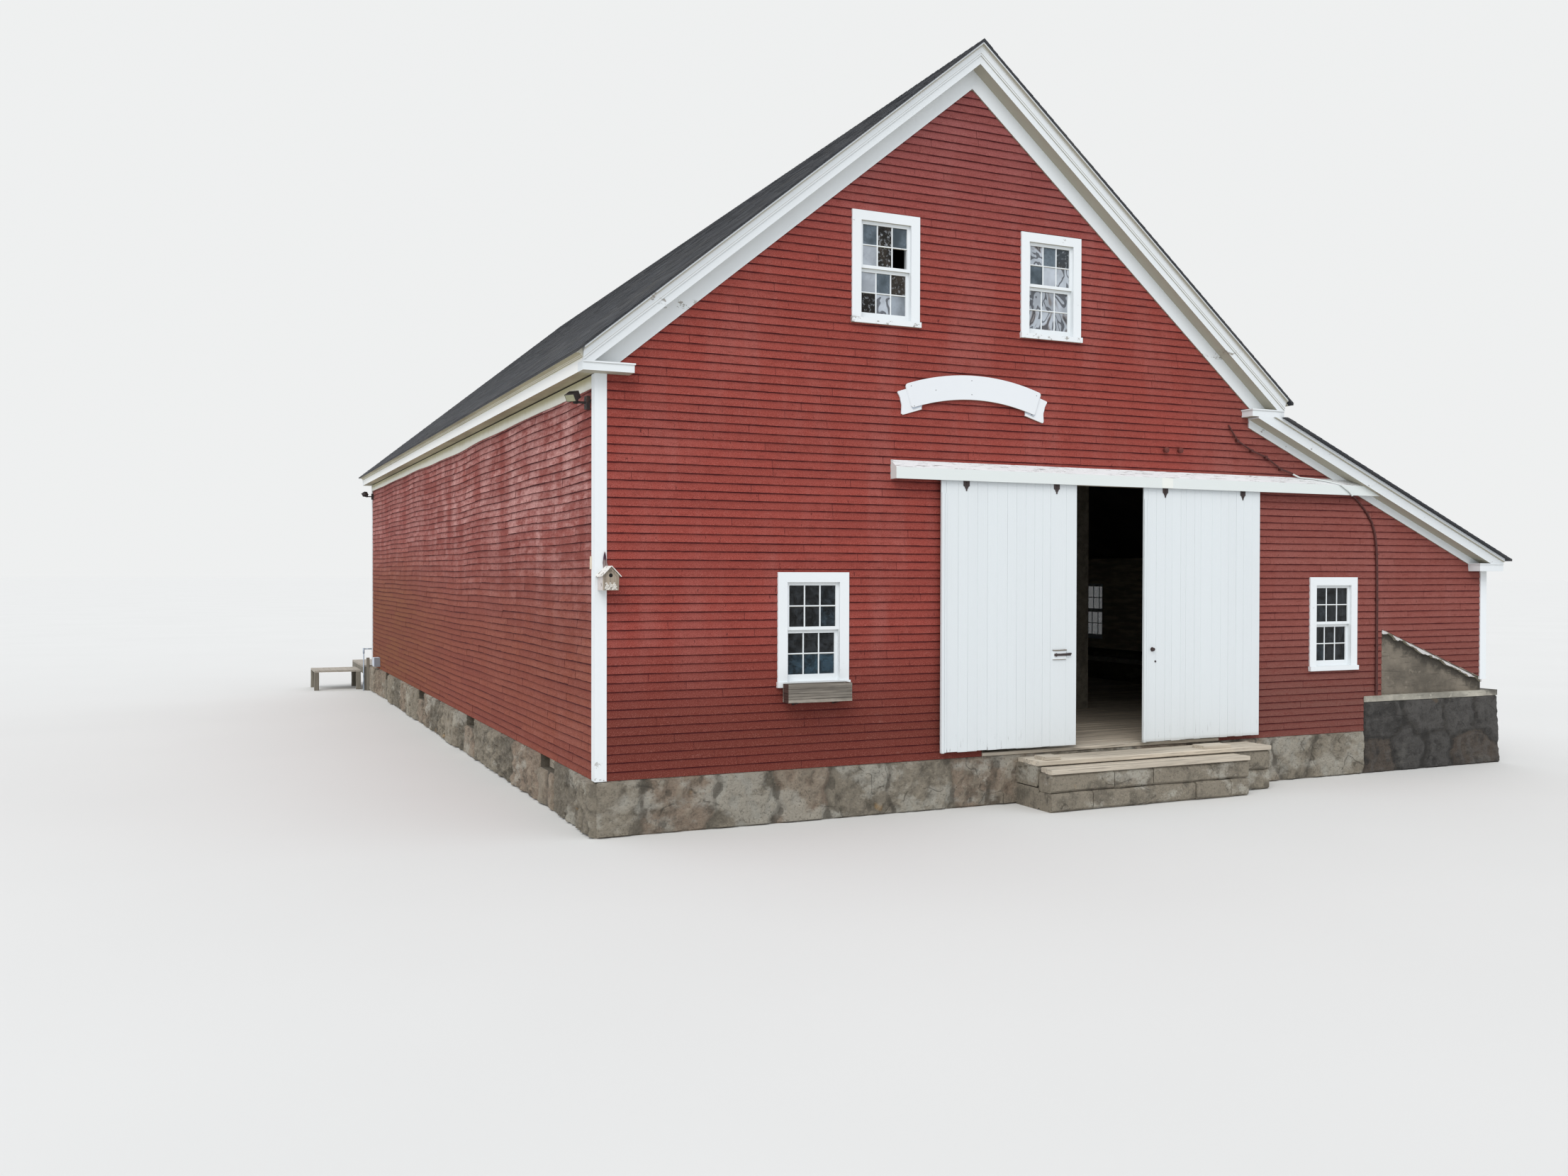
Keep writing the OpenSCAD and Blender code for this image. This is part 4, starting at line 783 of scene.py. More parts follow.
def service_paint():
    """Red paint on the conduit by the lean-to, blue grey on the meter box by the left wall."""
    c = tones()
    f = Finish("service_paint", 0.6)
    spot = f.spot()
    x, y = spot[0], spot[1]
    worn = f.noise((9.0, 9.0, 9.0), 5.0, 0.6)
    red = f.blend(f.band(worn, 0.5, 0.7, 0.4), shaded(c.red, 0.24), srgb(72, 44, 38))
    rear = f.band(y, LENGTH - 1.49, LENGTH - 1.47)
    grey = f.blend(rear, srgb(134, 138, 146), srgb(202, 210, 222))
    return f.dress(f.blend(f.band(x, 2.0, 1.0), red, grey), worn, 0.001)


def glass_painted_reflection_and_shade():
    """Old panes, partly clear: lie gives the kind of pane and a shift of its pattern.

    Each kind is painted light.  Kind 0 shows a painted reflection of pale sky with brown swirls
    and contours, 0.1 a painted reflection of plain sky, 0.5 a painted grey blue reflection, 1 a
    painted reflection of dark leaves with grey flecks, 2 a dark room painted as shade behind the
    glass and 3 that dark room with a painted blue sheen.
    """
    c = tones()
    f = Finish("glass_painted_reflection_and_shade", 0.08, Specular_IOR_Level=0.27, Alpha=0.66)
    lie = f.lie()
    kind, shift = lie[0], lie[1]
    x, y, z = f.split(f.place)
    spot = f.gather(f.plus(x, shift), f.plus(y, shift), z)
    swirl = f.noise((2.3, 2.3, 1.6), 2.0, 0.45, vector=spot, twist=1.8)
    cloud = f.noise((2.2, 2.2, 2.2), 4.0, 0.6, vector=spot)
    fleck = f.noise((27.0, 27.0, 24.0), 5.0, 0.72, vector=spot)
    # Painted reflections of sky, greys and leaves, and below the painted shade of the dark room.
    pale = f.blend(f.band(cloud, 0.35, 0.65), c.sky, shaded(c.sky, 0.66))
    pale = f.over(pale, srgb(130, 134, 140), fleck, 0.58, 0.68, 0.35)
    bold = f.band(kind, 0.08, 0.02)
    pale = f.blend(f.times(bold, f.band(swirl, 0.56, 0.60, 0.70)), pale, srgb(118, 104, 96))
    rings = f.band(f.math("PINGPONG", swirl, 0.07), 0.043, 0.052, 0.80)
    pale = f.blend(f.times(bold, rings), pale, srgb(72, 74, 80))
    mid = f.blend(f.band(cloud, 0.35, 0.65), srgb(124, 138, 150), srgb(72, 84, 92))
    mid = f.over(mid, srgb(56, 62, 66), fleck, 0.54, 0.66, 0.35)
    leaves = f.blend(f.band(cloud, 0.4, 0.6), srgb(32, 30, 27), srgb(66, 59, 52))
    leaves = f.over(leaves, srgb(172, 178, 184), fleck, 0.55, 0.63, 0.8)
    mottle = f.band(f.noise((8.0, 8.0, 8.0), 6.0, 0.75, vector=spot, twist=0.6), 0.38, 0.64)
    room = f.blend(mottle, shaded(c.glass, 0.35), srgb(52, 56, 60))
    blue = f.blend(mottle, shaded(c.pool, 0.25), shaded(c.pool, 1.35))
    hue = pale
    for low, high, look in ((0.1, 0.4, mid), (0.6, 0.9, leaves), (1.2, 1.8, room),
                            (2.2, 2.8, blue)):
        hue = f.over(hue, look, kind, low, high)
    return f.dress(hue)


def dark_soil():
    """Dark crumbly soil."""
    f = Finish("dark_soil", 1.0)
    lump = f.noise((40.0, 40.0, 40.0), 6.0, 0.7)
    return f.dress(f.blend(lump, srgb(30, 22, 16), srgb(74, 58, 44)), lump, 0.02)


# Clapboards

JOINT_GAP = 0.0005  # half the gap between two boards
BOARD_LAP = 0.010  # how far a board runs up behind the next
LEAN_BACK = 0.010  # how far a board leans back over the exposure
BOARD_BACK = -0.002  # how far its back lies from the wall face
BOARD_STATIONS = 13
OWN_DRAWS = 4000  # how many boards have draws of their own


def wave(s, z, size):
    """Slow waviness of the courses: two sines along the wall."""
    return size * (0.7 * np.sin(0.86 * s + 0.5 + 0.25 * z) + 0.3 * np.sin(2.3 * s + 1.7 - 0.6 * z))


def side_wave(s, z, size):
    """Sag of the left wall: a bell shaped dip about Y 9.3 and a small sine, more at the top."""
    dip = 0.22 * np.sin(1.9 * s + 0.8 + 0.2 * z) - np.exp(-(((s - 9.3) / 2.6) ** 2))
    return size * dip * (0.3 + 0.7 * z / SOFFIT)


def gable_limits(z):
    """Left and right ends of the gable wall at height z, just inside what covers them."""
    rake = (z - SOFFIT + RAKE_DROP / math.cos(PITCH)) / math.tan(PITCH) - EAVE - RAKE_LAP
    left = max(CORNER, rake)
    if z > SOFFIT:
        return left, WIDTH - left
    climb = (z - LEAN_SOFFIT + LEAN_DROP / math.cos(LEAN_PITCH)) / math.tan(LEAN_PITCH)
    lean = LEAN_X + LEAN_EAVE - climb + LEAN_LAP
    return left, max(LEAN_HEAD, min(LEAN_X - CORNER, lean))


def front_spans(z, windows, door):
    """Stretches of gable wall that carry boards at height z."""
    left, right = gable_limits(z)
    spans = [(left, right)]
    if z < LEDGE_Z:
        spans = [(left, STEP_X)]
    elif z < CUT_HIGH:
        spans = [(left, CUT_X)]
        if z > CUT_LOW:
            slant = CUT_X + (CUT_HIGH - z) * (LEAN_X - CUT_X) / (CUT_HIGH - CUT_LOW)
            spans.append((slant, right))
    if z < door[2]:
        spans = cut_spans(spans, door[0], door[1])
    return cut_windows(spans, z, windows)


def cut_spans(spans, a, b):
    """What is left of the stretches when a to b is taken out."""
    kept = []
    for s0, s1 in spans:
        if b <= s0 or a >= s1:
            kept.append((s0, s1))
            continue
        if a > s0:
            kept.append((s0, a))
        if b < s1:
            kept.append((b, s1))
    return kept


def cut_windows(spans, z, windows):
    """What is left of the stretches at height z beside the window casings."""
    half = WINDOW_W / 2 - CASING_LAP
    for x, foot in windows:
        if foot + CASING_LAP < z < foot + WINDOW_H - CASING_LAP:
            spans = cut_spans(spans, x - half, x + half)
    return spans


def window_breaks(windows):
    """Heights at which the boards meet the heads and feet of the windows."""
    return [foot + d for _, foot in windows for d in (CASING_LAP, WINDOW_H - CASING_LAP)]


def board_rows(spans, low, high, breaks, rng, loose):
    """One row for each board: its two ends at its foot and at its head, the heights of
    these and of its course, and a number of its own."""
    step, joints, rows = sizes().exposure, {}, []
    levels = sorted(set([low + k * step for k in range(int((high - low) / step) + 1)] + [high]
                        + [b for b in breaks if low < b < high]))
    for z0, z1 in zip(levels, levels[1:]):
        if z1 - z0 < 1e-6:
            continue
        course = int((z0 - low) / step + 1e-6)
        if course not in joints:
            usual = (0.5, 2.6) if loose else (1.7, 4.3)
            joints[course] = np.cumsum(rng.uniform(*usual, 20)) - rng.uniform(0, 2.5)
        for (b0, b1), (t0, t1) in zip(spans(z0 + 1e-5), spans(z1 - 1e-5)):
            ends = [j for j in joints[course] if max(b0, t0) + 0.2 < j < min(b1, t1) - 0.2]
            lower, upper = [b0, *ends, b1], [t0, *ends, t1]
            for i in range(len(lower) - 1):
                rows.append((lower[i] + JOINT_GAP, lower[i + 1] - JOINT_GAP,
                             upper[i] + JOINT_GAP, upper[i + 1] - JOINT_GAP,
                             z0, z1, low + course * step, course * 31 + i))
    return np.array(rows)


def clapboards(spans, low, high, breaks, to_world, sag, seed, bend=wave, loose=0.0):
    """Clapboards: a wedge section carried along each course.

    At a height q above its course the outer face stands out by butt less a share of
    q over the exposure, and a slow wave lifts the course.  Boards end at the wall's
    outline and at scattered butt joints.  Loose boards are shorter, and each is
    raised and tipped by about that much.
    """
    size, rng = sizes(), np.random.default_rng(seed)
    rows = board_rows(spans, low, high, breaks, rng, loose)
    b0, b1, t0, t1, z0, z1, course, number = rows.T[:, :, None]
    number, step = number[:, 0].astype(int) % OWN_DRAWS, size.exposure
    t = np.tile(np.linspace(0, 1, BOARD_STATIONS), (len(rows), 1))
    t[:, 1:2] = 0.004 / (b1 - b0).clip(0.02)
    t[:, -2] = 1 - t[:, 1]
    below, above = b0 + t * (b1 - b0), t0 + t * (t1 - t0)
    q0, q1 = (z0 - course) / step, (z1 - course) / step
    own = np.random.default_rng(seed + 2).normal(0, 1, (3, OWN_DRAWS))[:, number, None]
    out0 = size.butt - LEAN_BACK * q0 + (0.3 * loose + 0.0004) * own[2]
    out1 = out0 - LEAN_BACK * (q1 - q0)
    ragged = rng.normal(0, 0.0010 + 0.2 * loose, (len(rows), BOARD_STATIONS))
    ragged = ragged + loose * (own[0] + own[1] * (t - 0.5))
    lift0, lift1 = (bend(s, z, sag) * np.clip((z - low) / 0.6, 0, 1)
                    for s, z in ((below, z0), (above, z1)))
    foot = z0 + lift0 + ragged * (q0 < 0.01) * (course > low)
    head = z1 + lift1 + BOARD_LAP * (q1 > 0.99)
    rings = np.stack([points(below, out0, foot), points(above, out1, head),
                      points(above, BOARD_BACK, head), points(below, BOARD_BACK, foot)], 2)
    verts, quads = loft(rings)
    tone = np.random.default_rng(seed + 1).uniform(0, 1, OWN_DRAWS)[number][:, None, None]
    # Across runs below 0 on each butt's underside, where the clapboard paint lays its painted
    # shadow.
    across = np.concatenate([q0, q1 + (q1 > 0.99) * BOARD_LAP / step, q1 + 0.4, q0 - 0.6], 1)
    across = across[:, None].repeat(BOARD_STATIONS, 1)
    # Board ends get an across past 1, so they take the painted shadow colour of the course line.
    across[:, [0, -1]] = 1.3
    lie = points(rings[..., 0] + 9 * tone, across, tone)
    return to_world(verts), quads, lie.reshape(-1, 3)


def at_front(v):
    """Points as run, out and up, put on the front wall."""
    return points(v[:, 0], -v[:, 1], v[:, 2])


def at_rear(v):
    """Points as run, out and up, put on the rear wall."""
    return points(v[:, 0], LENGTH + v[:, 1], v[:, 2])


def at_left(v):
    """Points as run, out and up, put on the left wall."""
    return points(-v[:, 1], v[:, 0], v[:, 2])


def at_right(v):
    """Points as run, out and up, put on the lean-to's long wall."""
    return points(LEAN_X + v[:, 1], v[:, 0], v[:, 2])


class BARN_OT_clapboards(Operator):
    """Clad the four walls with clapboards"""

    bl_idname = "barn.clapboards"
    bl_label = "Clapboards"

    def execute(self, context):
        size = sizes()
        peak = SOFFIT - RAKE_DROP / math.cos(PITCH) + math.tan(PITCH) * (EAVE + MID) - RAKE_LAP
        red = finish(clapboard_paint, "gable_clapboard_paint", False)
        faded = finish(clapboard_paint, "side_clapboard_paint", True)
        for name, windows, door, to_world, seed in (
                ("front_clapboards", FRONT_WINDOWS, DOORWAY, at_front, 11),
                ("rear_clapboards", REAR_WINDOWS, REAR_DOORWAY, at_rear, 12)):
            breaks = [LEDGE_Z, CUT_LOW, CUT_HIGH, SOFFIT, door[2]] + window_breaks(windows)
            made = clapboards(lambda z: front_spans(z, windows, door), 0.0, peak, breaks, to_world,
                              size.front_sag, seed)
            piece(name, made, red)
        whole = [(CORNER, LENGTH - CORNER)]
        made = clapboards(lambda z: whole, 0.0, SOFFIT - TOP_GAP, [], at_left, size.side_sag, 13,
                          side_wave, 0.0028)
        piece("left_clapboards", made, faded)
        self.frieze(size.side_sag)
        made = clapboards(lambda z: cut_windows(whole, z, SIDE_WINDOWS), CUT_LOW,
                          LEAN_SOFFIT - TOP_GAP, window_breaks(SIDE_WINDOWS), at_right,
                          size.front_sag, 14)
        piece("right_clapboards", made, red)
        return {"FINISHED"}

    def frieze(self, sag):
        """Sagging board over the left frieze: its foot follows the dip of the courses."""
        s = np.linspace(0.113, LENGTH - 0.113, 160)
        foot = SOFFIT - 0.158 + np.minimum(side_wave(s, SOFFIT - 0.15, sag), 0.0)
        top = np.full(160, SOFFIT - 0.014)
        rings = section([-0.034, -0.034, -0.019, -0.019], s[:, None],
                        np.stack([foot, top, top, foot], -1))
        piece("left_frieze_board", unmarked(rings), finish(frieze_paint))


# Shingles


def shingle_slope(foot, pitch, length, turn, seed):
    """Shingle tabs: a wedge for each tab, course by course up the slope.

    foot is the eave's x and z; a point at v up the slope and a lift off it lies at
    foot plus v along the slope plus the lift square to it.  turn is -1 on a slope
    that falls to the right.
    """
    size, rng = sizes(), np.random.default_rng(seed)
    rows = int(length / size.shingle)
    n = int((LENGTH + 2 * EDGE) / size.tab) + 2
    i, j = np.meshgrid(np.arange(rows), np.arange(n), indexing="ij")
    i, j = i.ravel(), j.ravel()
    y0 = -EDGE + (j - 0.5 * (i % 2) - 0.13 * (i % 3)) * size.tab
    y1 = np.clip(y0 + size.tab - 0.007, -EDGE, LENGTH + EDGE)
    y0 = np.clip(y0, -EDGE, LENGTH + EDGE)
    keep = y1 - y0 > 0.02
    i, y0, y1 = i[keep], y0[keep], y1[keep]
    v0 = i * size.shingle + rng.uniform(-0.003, 0.003, len(i)) * (i > 0)
    v1 = np.minimum((i + 1) * size.shingle + 0.02, length)
    butt = rng.uniform(0.006, 0.009, len(i))
    v = np.stack([v0, v1, v1, v0], -1)
    lift = np.stack(np.broadcast_arrays(butt, 0.0025, -0.002, -0.002), -1)
    c, s = math.cos(pitch), math.sin(pitch)
    x = foot[0] + turn * (v * c - lift * s)
    z = foot[1] + v * s + lift * c
    verts, quads = loft(np.stack([points(x, y[:, None], z) for y in (y0, y1)], 1))
    return verts, quads, points(verts[:, 1], 0.0, rng.uniform(0, 1, len(i)).repeat(8))


class BARN_OT_shingles(Operator):
    """Cover the three slopes and the ridge with shingles"""

    bl_idname = "barn.shingles"
    bl_label = "Shingles"

    def execute(self, context):
        grit = finish(shingle_grit)
        main, foot, x = (MID + EDGE) / math.cos(PITCH), roof_top(-EDGE), LEAN_X + 0.25
        reach = (x - WIDTH - 0.205) / math.cos(LEAN_PITCH)
        for name, eave, pitch, length, turn, seed in (
                ("left_shingles", (-EDGE, foot), PITCH, main, 1, 21),
                ("right_shingles", (WIDTH + EDGE, foot), PITCH, main, -1, 22),
                ("lean_to_shingles", (x, lean_top(x)), LEAN_PITCH, reach, -1, 23)):
            made = shingle_slope(eave, pitch, length, turn, seed)
            piece(name, made, grit)
        self.ridge(grit)
        return {"FINISHED"}

    def ridge(self, grit):
        """Ridge shingles: a bent strip for each, its front butt a little higher than its tail."""
        n, rng = 150, np.random.default_rng(24)
        y = np.linspace(-EDGE, LENGTH + EDGE, n + 1)
        leg, c = 0.17 * math.cos(PITCH), math.cos(PITCH)
        x = np.array([MID - leg, MID - leg, MID, MID + leg, MID + leg, MID])
        high = np.array([0, 1, 1, 1, 0, 0])
        rings = np.zeros((n, 2, 6, 3))
        rings[..., 0] = x
        for k, (lift, shift) in enumerate(((0.0115, 0.0), (0.006, 0.02))):
            rings[:, k, :, 1] = np.clip(y[k:n + k] + shift, -EDGE, LENGTH + EDGE)[:, None]
            rise = lift + rng.uniform(-0.001, 0.0005, (n, 1))
            rings[:, k, :, 2] = roof_top(x) + high * rise / c
        verts, quads = loft(rings, caps=[(0, 1, 2, 5), (5, 2, 3, 4)])
        lie = points(verts[:, 1], 0.0, rng.uniform(0, 1, n).repeat(12))
        piece("ridge_shingles", (verts, quads, lie), grit, hides=("ridge_cap",))


# Stonework

ROUGH_WAVES = 26
STONE_GRID = 0.022  # spacing of the points on a stone face


def rough(s, z, seed):
    """Roughness of stone: 0.637 - |sin| in random directions, which leaves sharp ridges."""
    rng, total = np.random.default_rng(seed), 0.0
    for _ in range(ROUGH_WAVES):
        length, angle = rng.uniform(0.07, 0.6), rng.uniform(0, 3.14)
        phase = rng.uniform(0, 6.28)
        turn = np.sin((math.cos(angle) * s + math.sin(angle) * z) * 6.28 / length + phase)
        total = total + length ** 0.6 * (0.637 - np.abs(turn))
    return total / (0.17 * math.sqrt(ROUGH_WAVES))


def stones(width, height, proud, seed):
    """Field stones over a wall face as a height field.

    Stone centres lie in jittered rows.  With d1 and d2 the distances to the two
    nearest centres, the face stands out by a smooth step of d2 - d1, times each
    stone's own prominence, plus a roughness, and mortar lies where the step is small.
    """
    size, rng = sizes(), np.random.default_rng(seed)
    nu, nv = int(width / STONE_GRID) + 1, max(6, int(height / STONE_GRID) + 1)
    s, z = np.linspace(0, width, nu), np.linspace(0, height, nv)
    rows = max(1, round(height / size.stone_h))
    cols = max(2, round(width / size.stone_w))
    cx, cz = np.meshgrid((np.arange(cols) + 0.5) / cols * width,
                         (np.arange(rows) + 0.5) / rows * height)
    cx = (cx + (np.arange(rows)[:, None] % 2 - 0.5) * size.stone_w * 0.5).ravel()
    cx = cx + rng.normal(0, 0.14, cx.size)
    cz = cz.ravel() + rng.normal(0, 0.05, cx.size)
    px, pz = (g.ravel() for g in np.meshgrid(s, z, indexing="ij"))
    wobble = 0.035 * np.sin(6 * px + 3 * np.sin(5 * pz)) + 0.02 * np.sin(19 * pz + 9 * px)
    dx = (px + wobble)[:, None] - cx[None]
    dz = ((pz + wobble * 0.6)[:, None] - cz[None]) * (size.stone_w / size.stone_h) * 0.8
    d = np.sqrt(dx * dx + dz * dz)
    near = np.argsort(d, axis=1)[:, :2]
    dd = np.take_along_axis(d, near, 1)
    t = np.clip((dd[:, 1] - dd[:, 0]) / 0.22, 0, 1)
    t = t * t * (3 - 2 * t)
    level = rng.uniform(0.35, 1.0, cx.size)[near[:, 0]]
    relief = np.clip(0.1 + t * level + 0.22 * rough(px, pz, seed), 0.02, 1.15)
    out = 0.004 + proud * relief
    out = np.where(on_rim(px / width, pz / height), 0.0, out)
    tone = rng.uniform(0, 1, cx.size)[near[:, 0]]
    lie = points(np.clip(1 - 3.0 * t, 0, 1), relief, tone)
    return px, out, pz, sheet_quads(nu, nv), lie


class BARN_OT_stonework(Operator):
    """Lay field stones over the foundation walls and build the step base"""

    bl_idname = "barn.stonework"
    bl_label = "Stonework"

    def execute(self, context):
        c = tones()
        grey = finish(field_stone, "field_stone", tuple(c.stone), 0.32)
        pale = finish(field_stone, "limed_field_stone", shaded(c.stone, 0.86), 0.62)
        dark = finish(field_stone, "dark_field_stone", tuple(c.dark_stone), 0.0)
        ends = [0.0] + [y + e for y in VENTS for e in (0.0, VENT_W)] + [LENGTH]
        parts = []
        for k, (a, b) in enumerate(zip(ends, ends[1:])):
            top = VENT_SILL if k % 2 else 0.0
            s, out, z, quads, lie = stones(b - a, top + BASE, 0.080, 31 + k)
            vent = np.minimum(s + 9.0 * (a == 0), b - a - s + 9.0 * (b == LENGTH))
            out = out * np.clip(0.35 + vent / 0.30, 0, 1) if top == 0 else 0.6 * out
            parts.append((points(-out, s + a, z - BASE), quads, lie))
        piece("left_field_stones", parts, grey, skin=False)
        for name, y, side, seed in (("front_field_stones", 0.0, -1, 41),
                                    ("rear_field_stones", LENGTH, 1, 42)):
            s, out, z, quads, lie = stones(STEP_X, BASE, 0.040, seed)
            made = points(s, y + side * out, z - BASE), quads[:, ::-side], lie
            piece(name, made, pale, skin=False)
        parts, width = [], LEAN_X + HIGH_OUT - STEP_X
        for y, side, seed in ((0.0, -1, 43), (LENGTH, 1, 44)):
            s, out, z, quads, lie = stones(width, HIGH_WALL, 0.035, seed)
            room = HIGH_OUT + BATTER * (1 - z / HIGH_WALL)
            x = STEP_X + s * (LEAN_X + room - STEP_X) / width
            parts.append((points(x, y + side * out, z - BASE), quads[:, ::-side], lie))
        s, out, z, quads, lie = stones(LENGTH, HIGH_WALL, 0.035, 45)
        x = np.minimum(LEAN_X + HIGH_OUT + BATTER * (1 - z / HIGH_WALL) + out,
                       LEAN_X + HIGH_OUT + BATTER)
        parts.append((points(x, s, z - BASE), quads, lie))
        piece("right_field_stones", parts, dark, skin=False)
        self.step_base(finish(field_stone, "step_stone", shaded(c.stone, 1.05), 0.4))
        self.ragged_edge()
        return {"FINISHED"}

    def ragged_edge(self):
        """Torn strip along the slanting foot of the boards, in front and at the rear.

        Its lower edge hangs below the slant by a depth of 28 mm and a roughness of the run.
        """
        s = np.linspace(0, 1, 90)
        x = CUT_X + 0.02 + s * (LEAN_X - CUT_X - 0.06)
        z = CUT_HIGH - 0.01 - s * (CUT_HIGH - CUT_LOW)
        deep = 0.028 + np.clip(0.014 * rough(2.4 * s, 0 * s, 48), -0.022, 0.03)
        high = np.stack([z, z - deep, z - deep, z], -1)
        parts = [outward(unmarked(section(x[:, None], [y, y - 0.008 * side, back, back], high)))
                 for y, back, side in ((-0.006, 0.052, -1), (LENGTH + 0.006, LENGTH - 0.052, 1))]
        torn = finish(trim_paint, "torn_edge", srgb(206, 204, 204), 0.9)
        piece("ragged_edge", parts, torn, skin=False)

    def step_base(self, grey):
        """Rough blocks in courses under the step planks, each a rectangle with cut corners."""
        rng, lo, hi = np.random.default_rng(46), [], []
        for y0, y1, top, x1 in ((-0.54, 0.0, -0.09, 9.67), (-0.83, -0.54, -0.164, 9.0)):
            levels = np.linspace(-BASE, top, 3)
            for z0, z1 in zip(levels, levels[1:]):
                for x, w in lengths(rng, 5.70, x1, 0.6, 1.4, 0.2):
                    lo.append((x + 0.006, y0 + rng.uniform(0.006, 0.03), z0 + 0.004))
                    hi.append((x + w - 0.006, y1, z1 - 0.002))
        v, quads, lie = planks(lo, hi, 0, 0.03, 7, 0.004, 47)
        lie = points(0.0, 0.5, 0.4 + 0.15 * lie[:, 2])
        piece("step_stones", (v, quads, lie), grey, hides=("step_base",))


# Doors


class BARN_OT_doors(Operator):
    """Build the planked door leaves, their bolts and latch, and the rear door"""

    bl_idname = "barn.doors"
    bl_label = "Doors"

    def execute(self, context):
        paint = finish(plank_paint, "door_plank_paint", tuple(tones().door))
        left = [4.502, 4.578, 4.756, 4.900, 5.048, 5.201, 5.352, 5.510, 5.653, 5.800, 5.938, 6.066,
                6.192, 6.446, 6.618]
        right = [7.750, 7.826, 7.971, 8.131, 8.247, 8.405, 8.499, 8.655, 8.766, 8.972, 9.132, 9.273,
                 9.419, 9.558, 9.714, 9.866]
        self.leaf("left_door_planks", left, 0.085, "left_leaf", "door_left", paint, 51)
        self.leaf("right_door_planks", right, 0.058, "right_leaf", "door_right", paint, 52)
        iron = finish(rusty_iron, "door_iron", tuple(tones().iron))
        self.bolts("left_bolts", "left_leaf", left[0], iron)
        self.bolts("right_bolts", "right_leaf", right[0], iron)
        self.latch(iron)
        self.rear_door()
        return {"FINISHED"}

    def leaf(self, name, joints, foot, body, node, paint, seed):
        """Upright boards between the joints, ledges behind them and an edge batten."""
        rng, n = np.random.default_rng(seed), len(joints) - 1
        j, top, gap, y = np.array(joints), 3.60, 0.0007, DOOR_FACE
        lo = points(j[:-1] + gap, y + rng.uniform(0, 0.0015, n), foot + rng.uniform(0.0, 0.010, n))
        hi = points(j[1:] - gap, y + 0.024, top)
        parts = [planks(lo, hi, 2, 0.0015, 9, 0.0004, seed)]
        z = np.array([foot + 0.12, 1.20, 2.35, 3.38])
        lo, hi = points(j[0] + 0.02, y + 0.024, z), points(j[-1] - 0.02, y + 0.045, z + 0.16)
        parts.append(planks(lo, hi, 0, 0.003, 3, 0.0, seed + 5))
        lo = [(j[0] + 0.002, y - 0.015, foot), (j[0] + 0.048, y - 0.012, foot + 0.01)]
        hi = [(j[0] + 0.044, y, 3.42), (j[0] + 0.076, y, 3.41)]
        parts.append(planks(lo, hi, 2, 0.003, 5, 0.0, seed + 6))
        piece(name, parts, paint, body=body, hides=(node,))

    def bolts(self, name, body, x, iron):
        """Bolt heads on the two straps of a leaf, and a keyhole plate on the right leaf."""
        places = [(x + d, DOOR_FACE - 0.008, z) for d in (0.372, 2.116 - 0.332)
                  for z in (3.523, 3.555)]
        parts = [domes(places, 0.011, 0.007)]
        if body == "right_leaf":
            parts.append(domes((7.961, DOOR_FACE, 1.174), 0.016, 0.010))
        piece(name, parts, iron, body=body)

    def latch(self, iron):
        """The raised latch plate with its edge strips, and a bent hasp with a round head."""
        y, white = DOOR_FACE, finish(trim_paint, "sash_paint", tuple(tones().white), 0.25)
        plate = planks((6.226, y - 0.012, 1.243), (6.444, y, 1.368), 0, 0.004, 3, 0.0, 53)
        piece("latch_plate", plate, white, body="left_leaf")
        edges = planks([(6.226, y - 0.024, 1.358), (6.232, y - 0.016, 1.240)],
                       [(6.444, y - 0.004, 1.374), (6.438, y - 0.008, 1.248)], 0, 0.003, 9,
                       0.0015, 54)
        grey = finish(bare_timber, "grey_slats", tuple(tones().slat), 0)
        piece("latch_edges", edges, grey, body="left_leaf")
        s = np.linspace(0, 1, 16)[:, None]
        high, thick = 1.306 + 0.012 * s ** 3, 0.011 + 0.004 * np.sin(3.1 * s)
        strap = section(6.266 + 0.252 * s, y - np.array([0.030, 0.030, 0.012, 0.012]),
                        high + thick * [-1, 1, 1, -1])
        knob = domes((6.272, y - 0.028, 1.306), 0.024, 0.014)
        piece("latch_hasp", [unmarked(strap), knob], iron, body="left_leaf")

    def rear_door(self):
        """Upright boards in the rear doorway, with three ledges inside them."""
        left, right, head = REAR_DOORWAY
        j, z = np.linspace(left, right, 7), np.array([0.25, 1.0, 1.75])
        lo = points(j[:-1] + 0.003, LENGTH - 0.055, 0.052)
        hi = points(j[1:] - 0.003, LENGTH - 0.030, head - 0.003)
        parts = [planks(lo, hi, 2, 0.003, 3, 0.0, 56)]
        lo = points(left + 0.02, LENGTH - 0.075, z)
        hi = points(right - 0.02, LENGTH - 0.055, z + 0.14)
        parts.append(planks(lo, hi, 0, 0.003, 3, 0.0, 57))
        paint = finish(plank_paint, "rear_door_paint", shaded(tones().red, 0.8))
        piece("rear_door_planks", parts, paint, hides=("rear_door",))


# Windows

# Kinds of the 12 panes of each front window, row by row from the top: what a number shows
# stands with glass_painted_reflection_and_shade, and -1 is a pane that is gone
PANE_KINDS = {
    0: [2.0, 2.1, 2.35, 2.0, 2.2, 2.45, 2, 2, 2.2, 2.6, 2.9, 2.7],
    1: [0.40, 1, 0.5, 0.15, 1, -1, 0.12, 0.5, 1, 1, 0.0, 0.25],
    2: [0.0, 0.5, 0.8, 0.6, 0.12, 0.0, 0, 0, 0, 0, 0.03, 0],
    3: [2, 2, 2, 2.3, 2, 2, 2, 2, 2, 2.4, 2, 2]}


